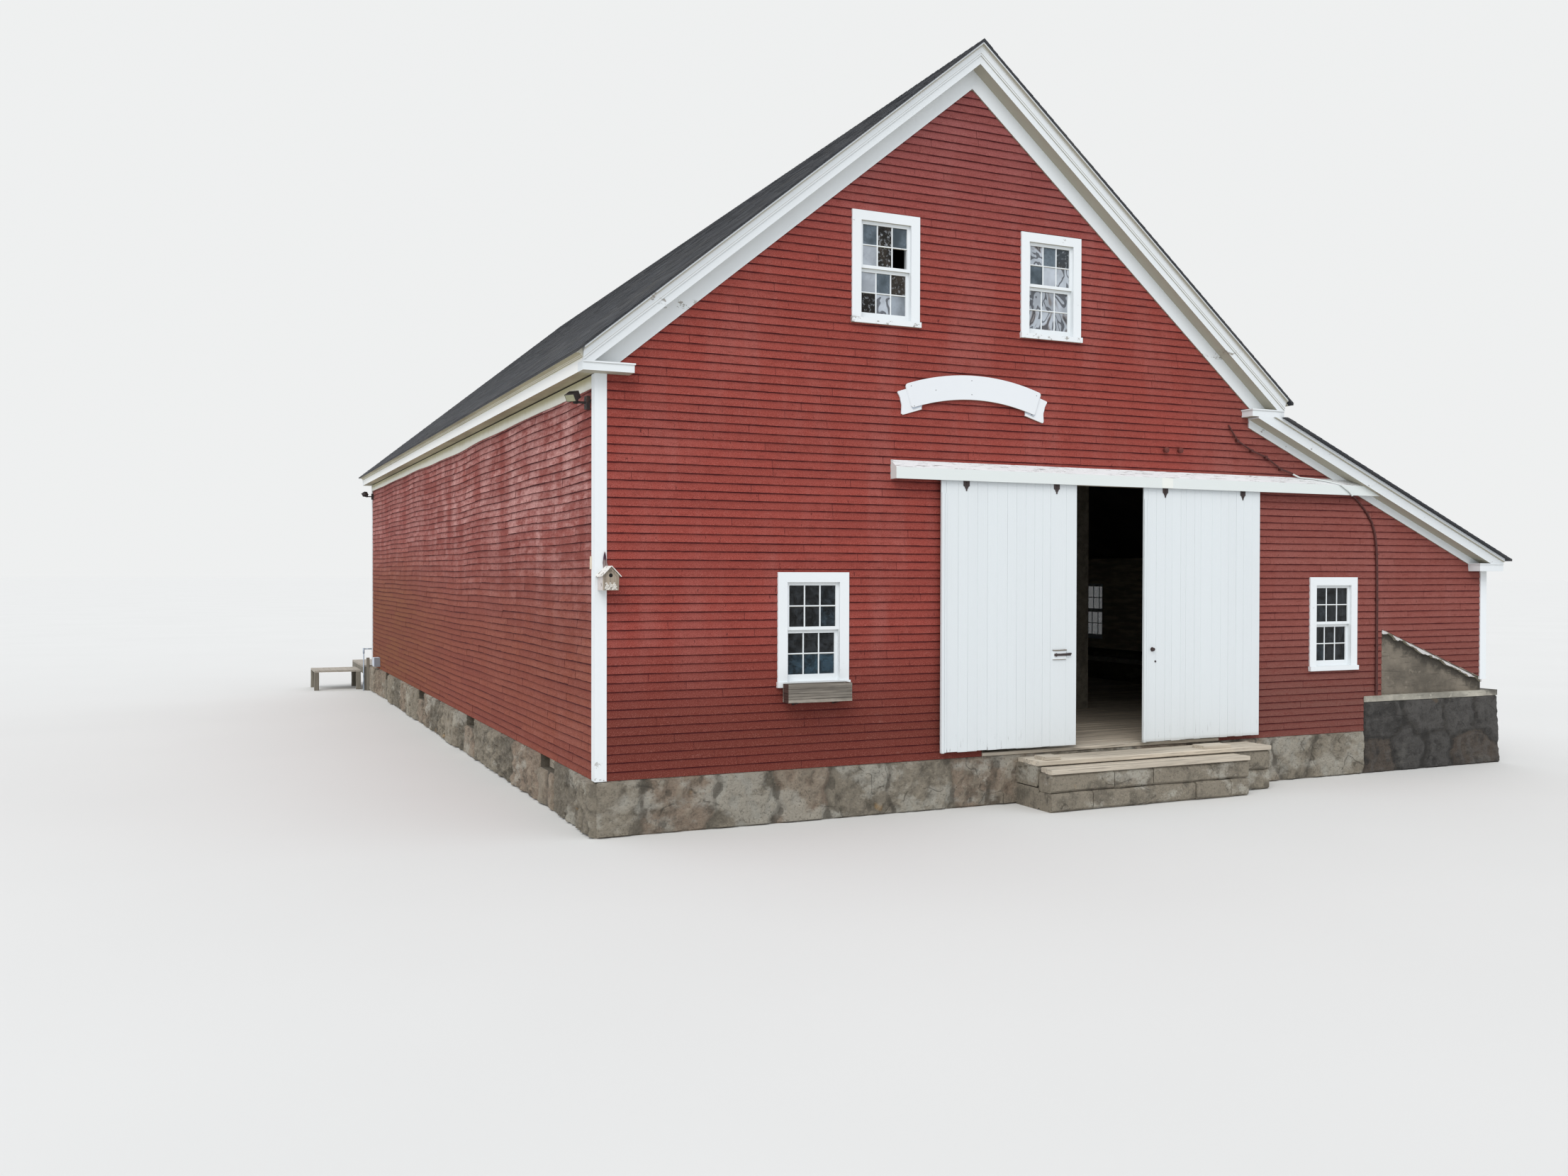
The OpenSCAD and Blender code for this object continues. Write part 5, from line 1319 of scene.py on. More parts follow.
def window_places():
    """Each window's centre on the wall line, foot height and the way its wall faces."""
    return ([(x, 0.0, z, 0) for x, z in FRONT_WINDOWS]
            + [(x, LENGTH, z, 2) for x, z in REAR_WINDOWS]
            + [(LEAN_X, y, z, 1) for y, z in SIDE_WINDOWS])


def turned(made, place):
    """A set in a window's frame (along, inward, up) put on its wall."""
    (v, quads, lie), (x, y, z, side) = made, place
    s, d, h = v[:, 0], v[:, 1], v[:, 2] + z
    if side == 0:
        return points(x + s, y + d, h), quads, lie
    if side == 2:
        return points(x - s, y - d, h), quads, lie
    return points(x - d, y + s, h), quads, lie


class BARN_OT_windows(Operator):
    """Put bars and panes in every sash"""

    bl_idname = "barn.windows"
    bl_label = "Windows"

    def execute(self, context):
        rng, w = np.random.default_rng(61), SASH_W / 2 - 0.04
        sashes = ((0.068 + 1.210 - PANE_H - 0.04, 0.008), (0.068 + 0.08, 0.043))
        muntins, panes = [], []
        for n, place in enumerate(window_places()):
            drawn = rng.choice([0.0, 0.3, 0.6, 1.0, 2.0], 12)
            kinds = np.array(PANE_KINDS.get(n, drawn)).reshape(2, 2, 3)
            for kind, (foot, depth) in zip(kinds, sashes):
                muntins.append(turned(self.lattice(w, foot, depth), place))
                panes.append(turned(self.glazing(w, foot, depth, kind, rng), place))
        white = finish(trim_paint, "sash_paint", tuple(tones().white), 0.25)
        piece("window_muntins", muntins, white)
        piece("window_panes", panes, finish(glass_painted_reflection_and_shade), hides=("window_glass",))
        return {"FINISHED"}

    def lattice(self, w, foot, depth):
        """Two upright bars and a level one over the six panes of a sash."""
        bar, d0, d1, z = sizes().muntin / 2, depth + 0.006, depth + 0.030, foot + PANE_H / 2
        lo = [(s * 2 * w / 6 - bar, d0, foot) for s in (-1, 1)]
        hi = [(s * 2 * w / 6 + bar, d1, foot + PANE_H) for s in (-1, 1)]
        level = planks((-w, d0 + 0.001, z - bar), (w, d1 - 0.001, z + bar), 0, 0.005, 2, 0.0, 63)
        return joined([planks(lo, hi, 2, 0.005, 2, 0.0, 62), level])

    def glazing(self, w, foot, depth, kind, rng):
        """Six thin panes of a sash, each slightly tilted; lie holds each pane's kind and two
        numbers of its own."""
        rows, cols = (g.ravel() for g in np.meshgrid([0, 1], [0, 1, 2], indexing="ij"))
        kind = kind[1 - rows, cols]
        rows, cols, kind = rows[kind >= 0], cols[kind >= 0], kind[kind >= 0]
        n, a, b = len(kind), -w + cols * 2 * w / 3, foot + rows * PANE_H / 2
        lo = points(a, depth + 0.0155, b)
        hi = points(a + 2 * w / 3, depth + 0.0195, b + PANE_H / 2)
        v, quads, _ = planks(lo, hi, 2, 0.0005, 2, 0.0, int(rng.integers(1000)))
        tilt = rng.normal(0, 0.006, (n, 2)).repeat(16, 0)
        off = v - ((lo + hi) / 2).repeat(16, 0)
        v[:, 1] += np.clip(tilt[:, 0] * off[:, 0] + tilt[:, 1] * off[:, 2], -0.002, 0.002)
        return v, quads, points(kind, rng.uniform(0, 40, n), rng.uniform(0, 1, n)).repeat(16, 0)


# Floors, steps and landing


class BARN_OT_planking(Operator):
    """Lay the floor boards, the entry planks and the rear landing"""

    bl_idname = "barn.planking"
    bl_label = "Planking"

    def execute(self, context):
        # The floor boards are drawn paler than the other boards: painted light, for daylight
        # reaching in through the doorway.
        self.floor(finish(bare_timber, "floor_planks", srgb(226, 212, 193), 0))
        self.entry(finish(bare_timber, "step_planks", srgb(211, 200, 183), 0))
        self.landing(finish(bare_timber, "landing_planks", srgb(196, 188, 176), 0),
                     finish(bare_timber, "weathered_posts", srgb(140, 134, 122), 2))
        return {"FINISHED"}

    def floor(self, timber):
        """Rows of boards along X with scattered ends, a gap between rows."""
        rng, lo, hi = np.random.default_rng(71), [], []
        n = int((LENGTH - 2 * WALL) / sizes().floor_board)
        y = np.linspace(WALL, LENGTH - WALL, n + 1)
        for y0, y1 in zip(y, y[1:]):
            end = STEP_X if y0 < 0.4 or y1 > LENGTH - 0.4 else LEAN_X - 0.4
            for x, w in lengths(rng, WALL, end, 2.6, 4.8, 0.8):
                lo.append((x + 0.002, y0 + 0.0025, 0.0))
                hi.append((x + w - 0.002, y1 - 0.0025, 0.05 - rng.uniform(0, 0.003)))
        boards = planks(lo, hi, 0, 0.004, 3, 0.0, 72)
        piece("floor_boards", boards, timber, hides=("plank_floor",))

    def entry(self, timber):
        """Threshold, step plank, lower plank and the two loose blocks on the step."""
        left, right, _ = DOORWAY
        lo = [(left, -0.028, 0.0), (left, 0.058, 0.0), (5.70, -0.54, -0.09),
              (5.72, -0.298, -0.09), (5.70, -0.827, -0.164), (5.74, -0.683, -0.164)]
        hi = [(right, 0.056, 0.048), (right, WALL, 0.05), (9.67, -0.300, -0.03),
              (9.65, -0.06, -0.031), (9.00, -0.685, -0.106), (8.97, -0.54, -0.104)]
        blocks = planks([(5.83, -0.50, -0.03), (8.48, -0.50, -0.03)],
                        [(6.08, -0.27, 0.016), (8.96, -0.27, 0.016)], 0, 0.006, 6, 0.001, 75)
        piece("entry_boards", [planks(lo, hi, 0, 0.007, 24, 0.0015, 74), blocks], timber,
              hides=("entry_planks",))

    def landing(self, timber, posts):
        """Deck boards, a side board, a ramp of cross boards, legs, a post and a pipe rail."""
        y0, y1, x0, x1 = LENGTH, LENGTH + 2.45, -0.25, 1.60
        y = np.linspace(y0, y1, 13)
        lo, hi = points(x0, y[:-1] + 0.003, -0.045), points(x1, y[1:] - 0.003, -0.002)
        parts = [planks(lo, hi, 0, 0.005, 6, 0.0010, 76)]
        x = np.linspace(x0 - 1.147, x0, 9)
        lo, hi = points(x[:-1] + 0.003, y0 + 0.4, -0.185), points(x[1:] - 0.003, y0 + 1.6, -0.14)
        v, quads, lie = planks(lo, hi, 1, 0.005, 6, 0.0012, 77)
        parts.append((v, quads, lie * [1, 1, 0.6]))
        piece("landing_boards", parts, timber, hides=("rear_landing",))
        legs = [(x, y, -0.045) for x in (x0 + 0.04, x1 - 0.12) for y in (y0, y1 - 0.12)]
        legs += [(x, y, -0.185) for x in (x0 - 1.15, x0 - 0.12) for y in (y0 + 0.4, y0 + 1.48)]
        lo = [(x, y, -BASE) for x, y, _ in legs] + [(-0.165, y0 - 0.085, -BASE)]
        hi = [(x + 0.12, y + 0.12, z) for x, y, z in legs] + [(-0.085, y0 - 0.005, 0.197)]
        lo, hi = np.array(lo) + [0.003, 0.003, 0], np.array(hi) - [0.003, 0.003, 0]
        side = planks((x0, y0, -0.205), (x0 + 0.04, y1, -0.045), 1, 0.005, 5, 0.0, 79)
        piece("landing_legs", [planks(lo, hi, 2, 0.006, 5, 0.002, 78), side], posts)
        x, y = x0 + 0.02, y0 - 0.022
        rail = [bars([(x, y, -BASE), (x, y, 0.425)], [(x, y, 0.43), (-0.030, y, 0.425)], 0.016, 12),
                bars((x, y, 0.31), (x, y, 0.445), 0.024, 12)]
        piece("landing_rail", rail, finish(pipe_metal), smooth=True)


# Window box, lamps and small things


def pipe_metal():
    """Dull bluish pipe with worn darker spots."""
    f = Finish("pipe_metal", 0.45, Metallic=0.3)
    worn = f.noise((20.0, 20.0, 6.0), 4.0)
    return f.dress(f.blend(f.band(worn, 0.4, 0.7), srgb(184, 196, 210), srgb(128, 138, 148)))


def lens_glass():
    """Ribbed greenish lens of a flood lamp."""
    f = Finish("lens_glass", 0.3)
    rib = f.noise((30.0, 3.0, 30.0), 2.0)
    return f.dress(f.blend(rib, srgb(134, 134, 104), srgb(164, 162, 134)), rib, 0.002)


def stake_wood():
    """Weathered stake with a purple brown patch near its tip."""
    f = Finish("stake_wood", 0.9)
    grain = f.noise((60.0, 60.0, 4.0), 4.0, 0.6)
    hue = f.blend(f.band(grain, 0.4, 0.65), srgb(150, 138, 136), srgb(110, 94, 92))
    z = f.spot()[2]
    dark = f.times(f.band(z, 2.51, 2.55), f.band(z, 2.62, 2.60))
    return f.dress(f.blend(dark, hue, srgb(62, 42, 56)), grain, 0.002)


def rounded(radius, gap):
    """How far a round corner falls back from its straight edge, at a gap from the corner."""
    return radius - np.sqrt(np.maximum(0, radius ** 2 - np.maximum(0, radius - gap) ** 2))


class BARN_OT_fittings(Operator):
    """Build the window box, banner, birdhouse, lamp heads, the hood's patch and the cable"""

    bl_idname = "barn.fittings"
    bl_label = "Fittings"

    def execute(self, context):
        iron = finish(rusty_iron, "door_iron", tuple(tones().iron))
        self.window_box(iron)
        self.banner(iron)
        self.birdhouse()
        self.lamps()
        self.hood()
        self.cable()
        return {"FINISHED"}

    def window_box(self, iron):
        """Five slats on each side, on corner posts, with a floor, soil and two brackets."""
        timber = finish(bare_timber, "grey_slats", shaded(tones().slat, 1.12), 0, 5.0)
        # The box ends are the slats' wood drawn darker and redder: painted shade.
        dark = finish(bare_timber, "dark_slats", srgb(87, 62, 55), 1)
        x0, x1, y0, y1, z0, z1 = 2.308, 3.164, -0.228, -0.058, 0.822, 1.050
        z = z0 + (z1 - z0) * np.array([0.0, 0.19, 0.34, 0.50, 0.74, 1.0])
        low, high = z[:-1] + 0.0015, z[1:] - 0.0015
        fade = np.array([0.0, 1.8, 2.3, 2.8, 2.7])
        parts, inner = [], 0.018
        for y, t in ((y0, 0.014), (y1 - 0.016, 0.016)):
            lo, hi = points(x0, y, low), points(x1, y + t, high)
            lo[1:, 1] += 0.003 * (y == y0)
            v, quads, lie = planks(lo, hi, 0, 0.002, 8, 0.0006, 81)
            lie[:, 2] = fade.repeat(len(lie) // len(fade))
            parts.append((v, quads, lie))
        ends = [planks(points(x, y0 + inner, low), points(x + 0.016, y1 - 0.016, high), 1, 0.002, 3,
                       0.0, 82) for x in (x0 + 0.001, x1 - 0.017)]
        lo = [(x, y, z0) for x in (x0 + inner, x1 - 0.040) for y in (y0 + inner, y1 - 0.040)]
        hi = [(x + 0.022, y + 0.022, z1 - 0.01) for x, y, _ in lo]
        parts.append(planks(lo, hi, 2, 0.002, 2, 0.0, 83))
        parts.append(planks((x0 + inner, y0 + inner, z0), (x1 - inner, y1 - inner, z0 + inner), 0,
                            0.002, 3, 0.0, 84))
        piece("window_box_slats", parts, timber, hides=("window_box",))
        piece("window_box_ends", ends, dark)
        s, t = unit_grid(60, 14)
        bump = 0.006 * np.sin(31 * s + 5 * t) * np.sin(17 * t + 3)
        bump = bump + 0.004 * np.sin(63 * s * (1 + t))
        v, quads, lie = sheet(x0 + inner + s * (x1 - x0 - 2 * inner),
                              y0 + inner + t * (y1 - y0 - 2 * inner), z1 - 0.030 + bump)
        piece("window_box_soil", (v, quads[:, ::-1], lie), dark_soil(),
              smooth=True, skin=False)
        parts = []
        for x in (x0 + 0.18 * 0.856, x0 + 0.82 * 0.856):
            a, b = x - 0.012, x + 0.012
            parts += [planks((a, -0.020, z0 - 0.045), (b, 0.0, 0.93), 2, 0.002, 2, 0.0, 85),
                      planks((a, -0.176, z0 - 0.008), (b, -0.018, z0), 1, 0.002, 2, 0.0, 86),
                      bars((x, -0.018, z0 - 0.040), (x, -0.165, z0 - 0.006), 0.006)]
        piece("window_box_brackets", parts, iron)

    def banner(self, iron):
        """Arched ribbon with round corners and rolled ends, in front of two swallow tails.

        At an angle u the ribbon lies between two arcs of one centre.  Near an end its
        corners are cut by circles and its face falls back along a quarter circle.
        """
        radius, high, half, edge = 3.27, 0.314, 1.040, 0.003

        def wall(made):
            """A set in the banner's own plane (along, up, out) put on the gable."""
            v, quads, lie = made
            return points(MID + 0.048 + v[:, 0], -v[:, 2], SOFFIT + 0.295 + v[:, 1]), quads, lie

        a = math.asin(half / radius)
        u = np.sin(np.linspace(-1, 1, 97) * math.pi / 2)[:, None] * a
        end = np.maximum(0, (a - np.abs(u)) * radius)
        corner = rounded(0.040, end)
        roll = 0.015 * (1 - np.sqrt(1 - np.clip(1 - end / 0.030, 0, 1) ** 2))
        low, top = radius - high + corner, radius - corner
        r = low + (top - low) * CORNERS[:, 0] + INSETS[:, 0] * edge
        out = 0.034 + (0.018 - roll) * CORNERS[:, 1] + INSETS[:, 1] * edge * (1 - roll / 0.015)
        parts = [wall(unmarked(section(r * np.sin(u), r * np.cos(u) - radius, out)))]
        w = np.linspace(0, 1, 25)
        tip = rounded(0.022, 0.296 * np.minimum(w, 1 - w))
        notch = np.where(w < 0.43, w / 0.43, 1 - 0.15 * (w - 0.43) / 0.57) * 0.074
        notch = notch - 0.016 * np.exp(-(((w - 0.43) / 0.10) ** 2))
        outer = np.stack([1.150 - notch - tip, -0.262 - 0.296 * w], -1)
        inner = np.stack([0.790 + 0 * w, -0.155 - 0.320 * w], -1)
        depth, grow = np.array([[0.016, 1.0], [0.031, 1.0], [0.034, 0.988]]).T[:, :, None]
        folds, cleats = [], []
        for side in (-1, 1):
            flat = np.concatenate([inner, outer[::-1]]) * [side, 1]
            x, z = (m + (f - m) * grow for f, m in zip(flat.T, flat.mean(0)))
            parts.append(outward(wall(unmarked(section(x, z, depth)))))
            x, z = side * np.array([0.950, 0.922, 0.786, 0.793]), [-0.415, -0.476, -0.436, -0.385]
            fold = section(x, z, [[0.0335] * 4, [0.046, 0.046, 0.036, 0.036]])
            folds.append(outward(wall(unmarked(fold))))
            for x, z, far, tall in ((0.597, -0.190, 0.0345, 0.19), (1.040, -0.410, 0.0165, 0.12)):
                lo = (side * x - 0.025, z - tall / 2, 0.0)
                hi = (side * x + 0.025, z + tall / 2, far)
                cleats.append(outward(wall(planks(lo, hi, 1, 0.002, 2, 0.0, 90))))
        white = finish(trim_paint, "banner_paint", srgb(226, 230, 234), 0.12)
        piece("banner_ribbon", parts + cleats, white, hides=("banner_sign",),
              skin=False)
        # The folds are drawn blue grey: painted shade inside each fold.
        blue = finish(trim_paint, "fold_paint", srgb(184, 196, 212), 0.1)
        piece("banner_folds", folds, blue, skin=False)
        x, z = np.array([(-0.954, -0.189), (-0.592, -0.220), (-0.054, -0.066), (-0.053, -0.246),
                         (0.956, -0.200), (-0.907, -0.440), (0.884, -0.452)]).T
        places = points(MID + 0.048 + x, -0.0515, SOFFIT + 0.295 + z)
        piece("banner_screws", domes(places, 0.0065, 0.0025), iron)

    def birdhouse(self):
        """Box of old boards under two slopes, with a round hole drawn as a near black disc of
        painted shade, a crusted foot and a stake.
        """
        x0, w, z0, high, rise, y0, y1 = 0.005, 0.187, 2.187, 0.172, 0.098, -0.243, -0.028
        mid, slope, x1, z1 = x0 + w / 2, math.atan(rise / (w / 2)), x0 + w, z0 + high
        run = (w / 2 + 0.022) / math.cos(slope)

        def sloped(made, side, lean=1.0):
            """A set made flat along a slope, tilted down from the ridge on one side."""
            v, quads, lie = made
            x = v[:, 0] * math.cos(slope) + v[:, 2] * math.sin(slope) * lean
            z = -v[:, 0] * math.sin(slope) + v[:, 2] * math.cos(slope)
            return outward((points(mid + side * x, v[:, 1], z1 + rise + z), quads, lie))

        white = finish(trim_paint, "birdhouse_paint", srgb(206, 198, 194), 0.65)
        lo = [(x0, y0 + 0.008, z0), (x0, y0 + 0.112, z0), (x1 - 0.014, y0 + 0.008, z0)]
        hi = [(x0 + 0.014, y0 + 0.110, z1), (x0 + 0.014, y1, z1), (x1, y1, z1)]
        foot = planks((x0 + 0.014, y0 + 0.010, z0), (x1 - 0.014, y1, z0 + 0.014), 0, 0.002, 3, 0.0,
                      92)
        piece("birdhouse_sides", [planks(lo, hi, 2, 0.002, 5, 0.001, 91), foot], white,
              hides=("birdhouse",))
        s = np.linspace(0, run, 3)
        lo, hi = points(s[:-1], y0 - 0.022, 0.0), points(s[1:] - 0.0015, y1, 0.0135)
        parts = [sloped(planks(lo, hi, 1, 0.003, 9, 0.0016, 93), side, 0.3) for side in (-1, 1)]
        old_white = finish(trim_paint, "birdhouse_roof_paint", srgb(228, 225, 221), 1.18)
        piece("birdhouse_roof", parts, old_white, skin=False)
        wood = finish(bare_timber, "birdhouse_wood", srgb(170, 157, 141), 2)
        x = np.array([0.012, 0.012, w / 2 - 0.001, w / 2 + 0.001, w - 0.012, w - 0.012])
        z = np.array([0.004, high - 0.004, high + rise - 0.016, high + rise - 0.016, high - 0.004,
                      0.004])
        v, quads = loft(section(x0 + x, [[y0 + 0.010], [y0 + 0.022]], z0 + z))
        parts = [outward((v, quads, np.full(v.shape, 0.2))),
                 planks([(x0, y0, z0), (x1 - 0.020, y0, z0)],
                        [(x0 + 0.020, y0 + 0.016, z1 + 0.012), (x1, y0 + 0.016, z1 + 0.012)],
                        2, 0.003, 5, 0.001, 94)]
        parts += [sloped(planks((0.0, y0, -0.028), (run - 0.030, y0 + 0.016, -0.004), 0, 0.002, 5,
                                0.001, 95), side) for side in (-1, 1)]
        piece("birdhouse_front", parts, wood, skin=False)
        # The hole is a near black disc: painted shade inside the box.
        hole = bars((mid, y0 + 0.012, z1 - 0.004), (mid, y0 + 0.0085, z1 - 0.004), 0.022, 24)
        piece("birdhouse_hole", hole, finish(bare_timber, "hole_dark", srgb(8, 7, 6), 2))
        s, t = unit_grid(60, 26)
        lump = np.clip(0.55 + 0.35 * rough(s * 1.2, t * 0.5, 96), 0, 1) * np.sin(math.pi * s) ** 0.3
        lump = lump * np.clip(1.0 - t * (1.0 + 0.35 * np.sin(23 * s)), 0, 1) ** 0.6
        lump = np.where(on_rim(s, t), 0.0, 0.018 * lump)
        crust = sheet(x0 + 0.004 + s * (w - 0.008), y0 + 0.012 - lump, z0 + 0.001 + 0.088 * t)
        piece("birdhouse_crust", crust, finish(trim_paint, "crust", srgb(212, 208, 201), 1.0),
              smooth=True, skin=False)
        z = np.linspace(0.10, 0.437, 9)[:, None]
        half = np.interp(z, [0.10, 0.27, 0.40, 0.437], [0.036, 0.029, 0.011, 0.003])
        stake = section(mid - 0.012 * (z > 0.3) + half * [-1, 1, 1, -1],
                        [-0.0415, -0.0415, -0.029, -0.029], z0 + z)
        piece("birdhouse_stake", unmarked(stake), finish(stake_wood))
        block = planks((-0.044, 0.098, 2.425), (-0.018, 0.126, 2.573), 2, 0.003, 5, 0.001, 97)
        piece("corner_block", block, finish(bare_timber, "beige_wood", srgb(226, 210, 190), 2))

    def lamps(self):
        """A lens plate on each turned and tilted lamp head, with cooling fins above and below.

        In the head's frame a point is tilted about the cross axis and then turned about
        the upright one; the rear lamp mirrors the front one.
        """
        tilt, turn, y, z = math.radians(32), math.radians(35), 0.255, SOFFIT - 0.305

        def head(made, rear):
            """A set made in a lamp head's own frame, put under the left eave near one end."""
            v, quads, lie = made
            out = v[:, 0] * math.cos(tilt) - v[:, 2] * math.sin(tilt) - 0.050
            up = v[:, 0] * math.sin(tilt) + v[:, 2] * math.cos(tilt) + 0.062
            side = out * math.sin(turn) + v[:, 1] * math.cos(turn) + y
            out = out * math.cos(turn) - v[:, 1] * math.sin(turn) - 0.175
            return outward((points(out, LENGTH - side if rear else side, up + z), quads, lie))

        lens = planks((-0.055, -0.062, -0.039), (-0.0515, 0.062, 0.039), 1, 0.001, 2, 0.0, 87)
        rows = [(f, h) for f in np.linspace(-0.064, 0.064, 8) for h in (0.020, -0.045)]
        fins = planks([(-0.036, f - 0.0022, h) for f, h in rows],
                      [(0.052, f + 0.0022, h + 0.025) for f, h in rows], 0, 0.001, 2, 0.0, 88)
        cup, parts = np.arange(12) * math.pi / 6, []
        for rear in (False, True):
            middle = LENGTH - y if rear else y
            rim = points(-0.062, middle + 0.040 * np.cos(cup), z + 0.055 * np.sin(cup))
            parts += [head(fins, rear), bars(rim + [0.050, 0, 0], rim, 0.010, 6)]
        bronze = finish(rusty_iron, "lamp_bronze", srgb(50, 44, 44))
        piece("lamp_fins", parts, bronze, skin=False)
        piece("lamp_lenses", [head(lens, False), head(lens, True)], finish(lens_glass),
              skin=False)

    def hood(self):
        """A thin patch board over a seam in the hood's front, and two red knobs above it."""
        patch = planks((8.02, -0.1635, 3.577), (8.21, -0.160, 3.7185), 0, 0.001, 3, 0.0, 89)
        piece("hood_patch", patch, finish(hood_paint, "patch_paint", srgb(230, 233, 228)))
        knobs = np.array([(8.181, -0.012, 4.118), (8.434, -0.012, 4.124)])
        parts = [bars(knobs, knobs + [0, -0.052, 0], 0.028, 12),
                 domes(knobs + [0, -0.050, 0], 0.044, 0.022)]
        red = finish(rusty_iron, "red_knobs", shaded(tones().red, 0.42))
        piece("wall_knobs", parts, red)

    def cable(self):
        """Painted cable from the conduit over the hood's end, then down the lean-to wall on clips.

        It follows a bent line of points; a thinner second strand hangs beside its lower half.
        """
        over = np.array([(10.56, -0.042, 3.862), (10.70, -0.046, 3.812), (10.95, -0.055, 3.805),
                         (11.20, -0.110, 3.769), (11.38, -0.169, 3.725), (11.55, -0.175, 3.630),
                         (11.62, -0.172, 3.566)])
        down = np.array([(11.62, -0.172, 3.566), (11.75, -0.060, 3.575), (11.83, -0.034, 3.545),
                         (11.95, -0.032, 3.455), (12.08, -0.032, 3.330), (12.19, -0.032, 3.180),
                         (12.25, -0.032, 3.020), (12.285, -0.032, 2.820), (12.30, -0.032, 2.500),
                         (12.305, -0.032, 1.950), (12.305, -0.032, 0.545)])
        beside = down[3:] + np.linspace(0.0, 1.0, 8)[:, None] ** 0.4 * [0.032, 0.006, 0.0]
        x, z = np.array([(12.08, 3.33), (12.29, 2.70), (12.305, 2.00), (12.305, 1.30),
                         (12.305, 0.70)]).T
        lo, hi = points(x - 0.020, -0.047, z - 0.008), points(x + 0.052, -0.008, z + 0.008)
        clips = planks(lo, hi, 2, 0.002)
        white = finish(hood_paint, "hood_paint", HOOD_TONE)
        piece("cable_over", bars(over[:-1], over[1:], 0.013), white)
        parts = [bars(down[:-1], down[1:], 0.014), bars(beside[:-1], beside[1:], 0.009), clips]
        piece("cable_down", parts, finish(service_paint))


# Finishes on the carried-over nodes


class BARN_OT_finishes(Operator):
    """Give every carried-over node its finish"""

    bl_idname = "barn.finishes"
    bl_label = "Finishes"

    def execute(self, context):
        c = tones()
        white = tuple(c.white)
        # trim and corner_paint are one white in two brightnesses: painted shade on the rake and
        # return trim under the roof's edges, painted light on the corner boards.
        trim = finish(trim_paint, "trim_paint", shaded(white, 0.96), 0.05)
        bright = finish(trim_paint, "corner_paint", shaded(white, 1.01), 0.02)
        worn = finish(trim_paint, "worn_trim_paint", shaded(white, 0.94), 0.40)
        sash = finish(trim_paint, "sash_paint", white, 0.25)
        iron = finish(rusty_iron, "door_iron", tuple(c.iron))
        beam = finish(bare_timber, "inner_timber", shaded(c.timber, 0.8), 1)
        # The masonry under the stone skins is drawn paler than the field stones: painted light in
        # the shaded vent jambs.
        stone = finish(field_stone, "bare_masonry", shaded(c.stone, 1.1), 0.2)
        looks = {
            "main_rake_cornices": trim, "left_eave_trim": finish(eave_paint, "left_eave_paint", 1),
            "right_eave_trim": finish(eave_paint, "right_eave_paint", -1),
            "cornice_returns": trim, "lean_to_rakes": worn, "lean_eave_trim": worn,
            "corner_boards": bright, "window_casings": sash, "window_sashes": sash,
            "track_hood": finish(hood_paint, "hood_paint", HOOD_TONE),
            "left_door_irons": finish(latch_iron), "right_door_irons": iron,
            "left_rollers": iron, "right_rollers": iron, "door_track": iron, "arcade_frame": beam,
            "flood_lamps": finish(rusty_iron, "lamp_bronze", srgb(50, 44, 44)),
            "electric_service": finish(service_paint),
            "foundation_left": stone, "foundation_ends": stone, "foundation_right": stone,
            "foundation_ledge": finish(lime_coat, "ledge_coat", srgb(176, 172, 160)),
            "parged_wall": finish(lime_coat, "parged_coat", srgb(124, 116, 104)),
            # The vent boards are drawn pale: painted light in their shaded openings.
            "cellar_vent_panels": finish(bare_timber, "vent_boards", srgb(206, 194, 176), 1),
            "main_roof_left": finish(shingle_grit), "main_roof_right": finish(shingle_grit),
            "lean_to_roof": finish(shingle_grit),
        }
        back = finish(wall_back)
        hidden = {"ridge_cap", "window_glass", "plank_floor", "entry_planks", "step_base",
                  "door_left", "door_right", "rear_door", "rear_landing", "window_box",
                  "banner_sign", "birdhouse"}
        for name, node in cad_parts.items():
            if name not in hidden:
                for held in node.material_slots:
                    held.material = looks.get(name, back)
        return {"FINISHED"}


# Stage


def plain_floor():
    """A pale floor, faintly uneven."""
    f = Finish("pale_floor", 0.9)
    return f.dress(f.blend(f.noise((0.2, 0.2, 0.2), 2.0), (0.70, 0.70, 0.69), (0.74, 0.74, 0.73)))


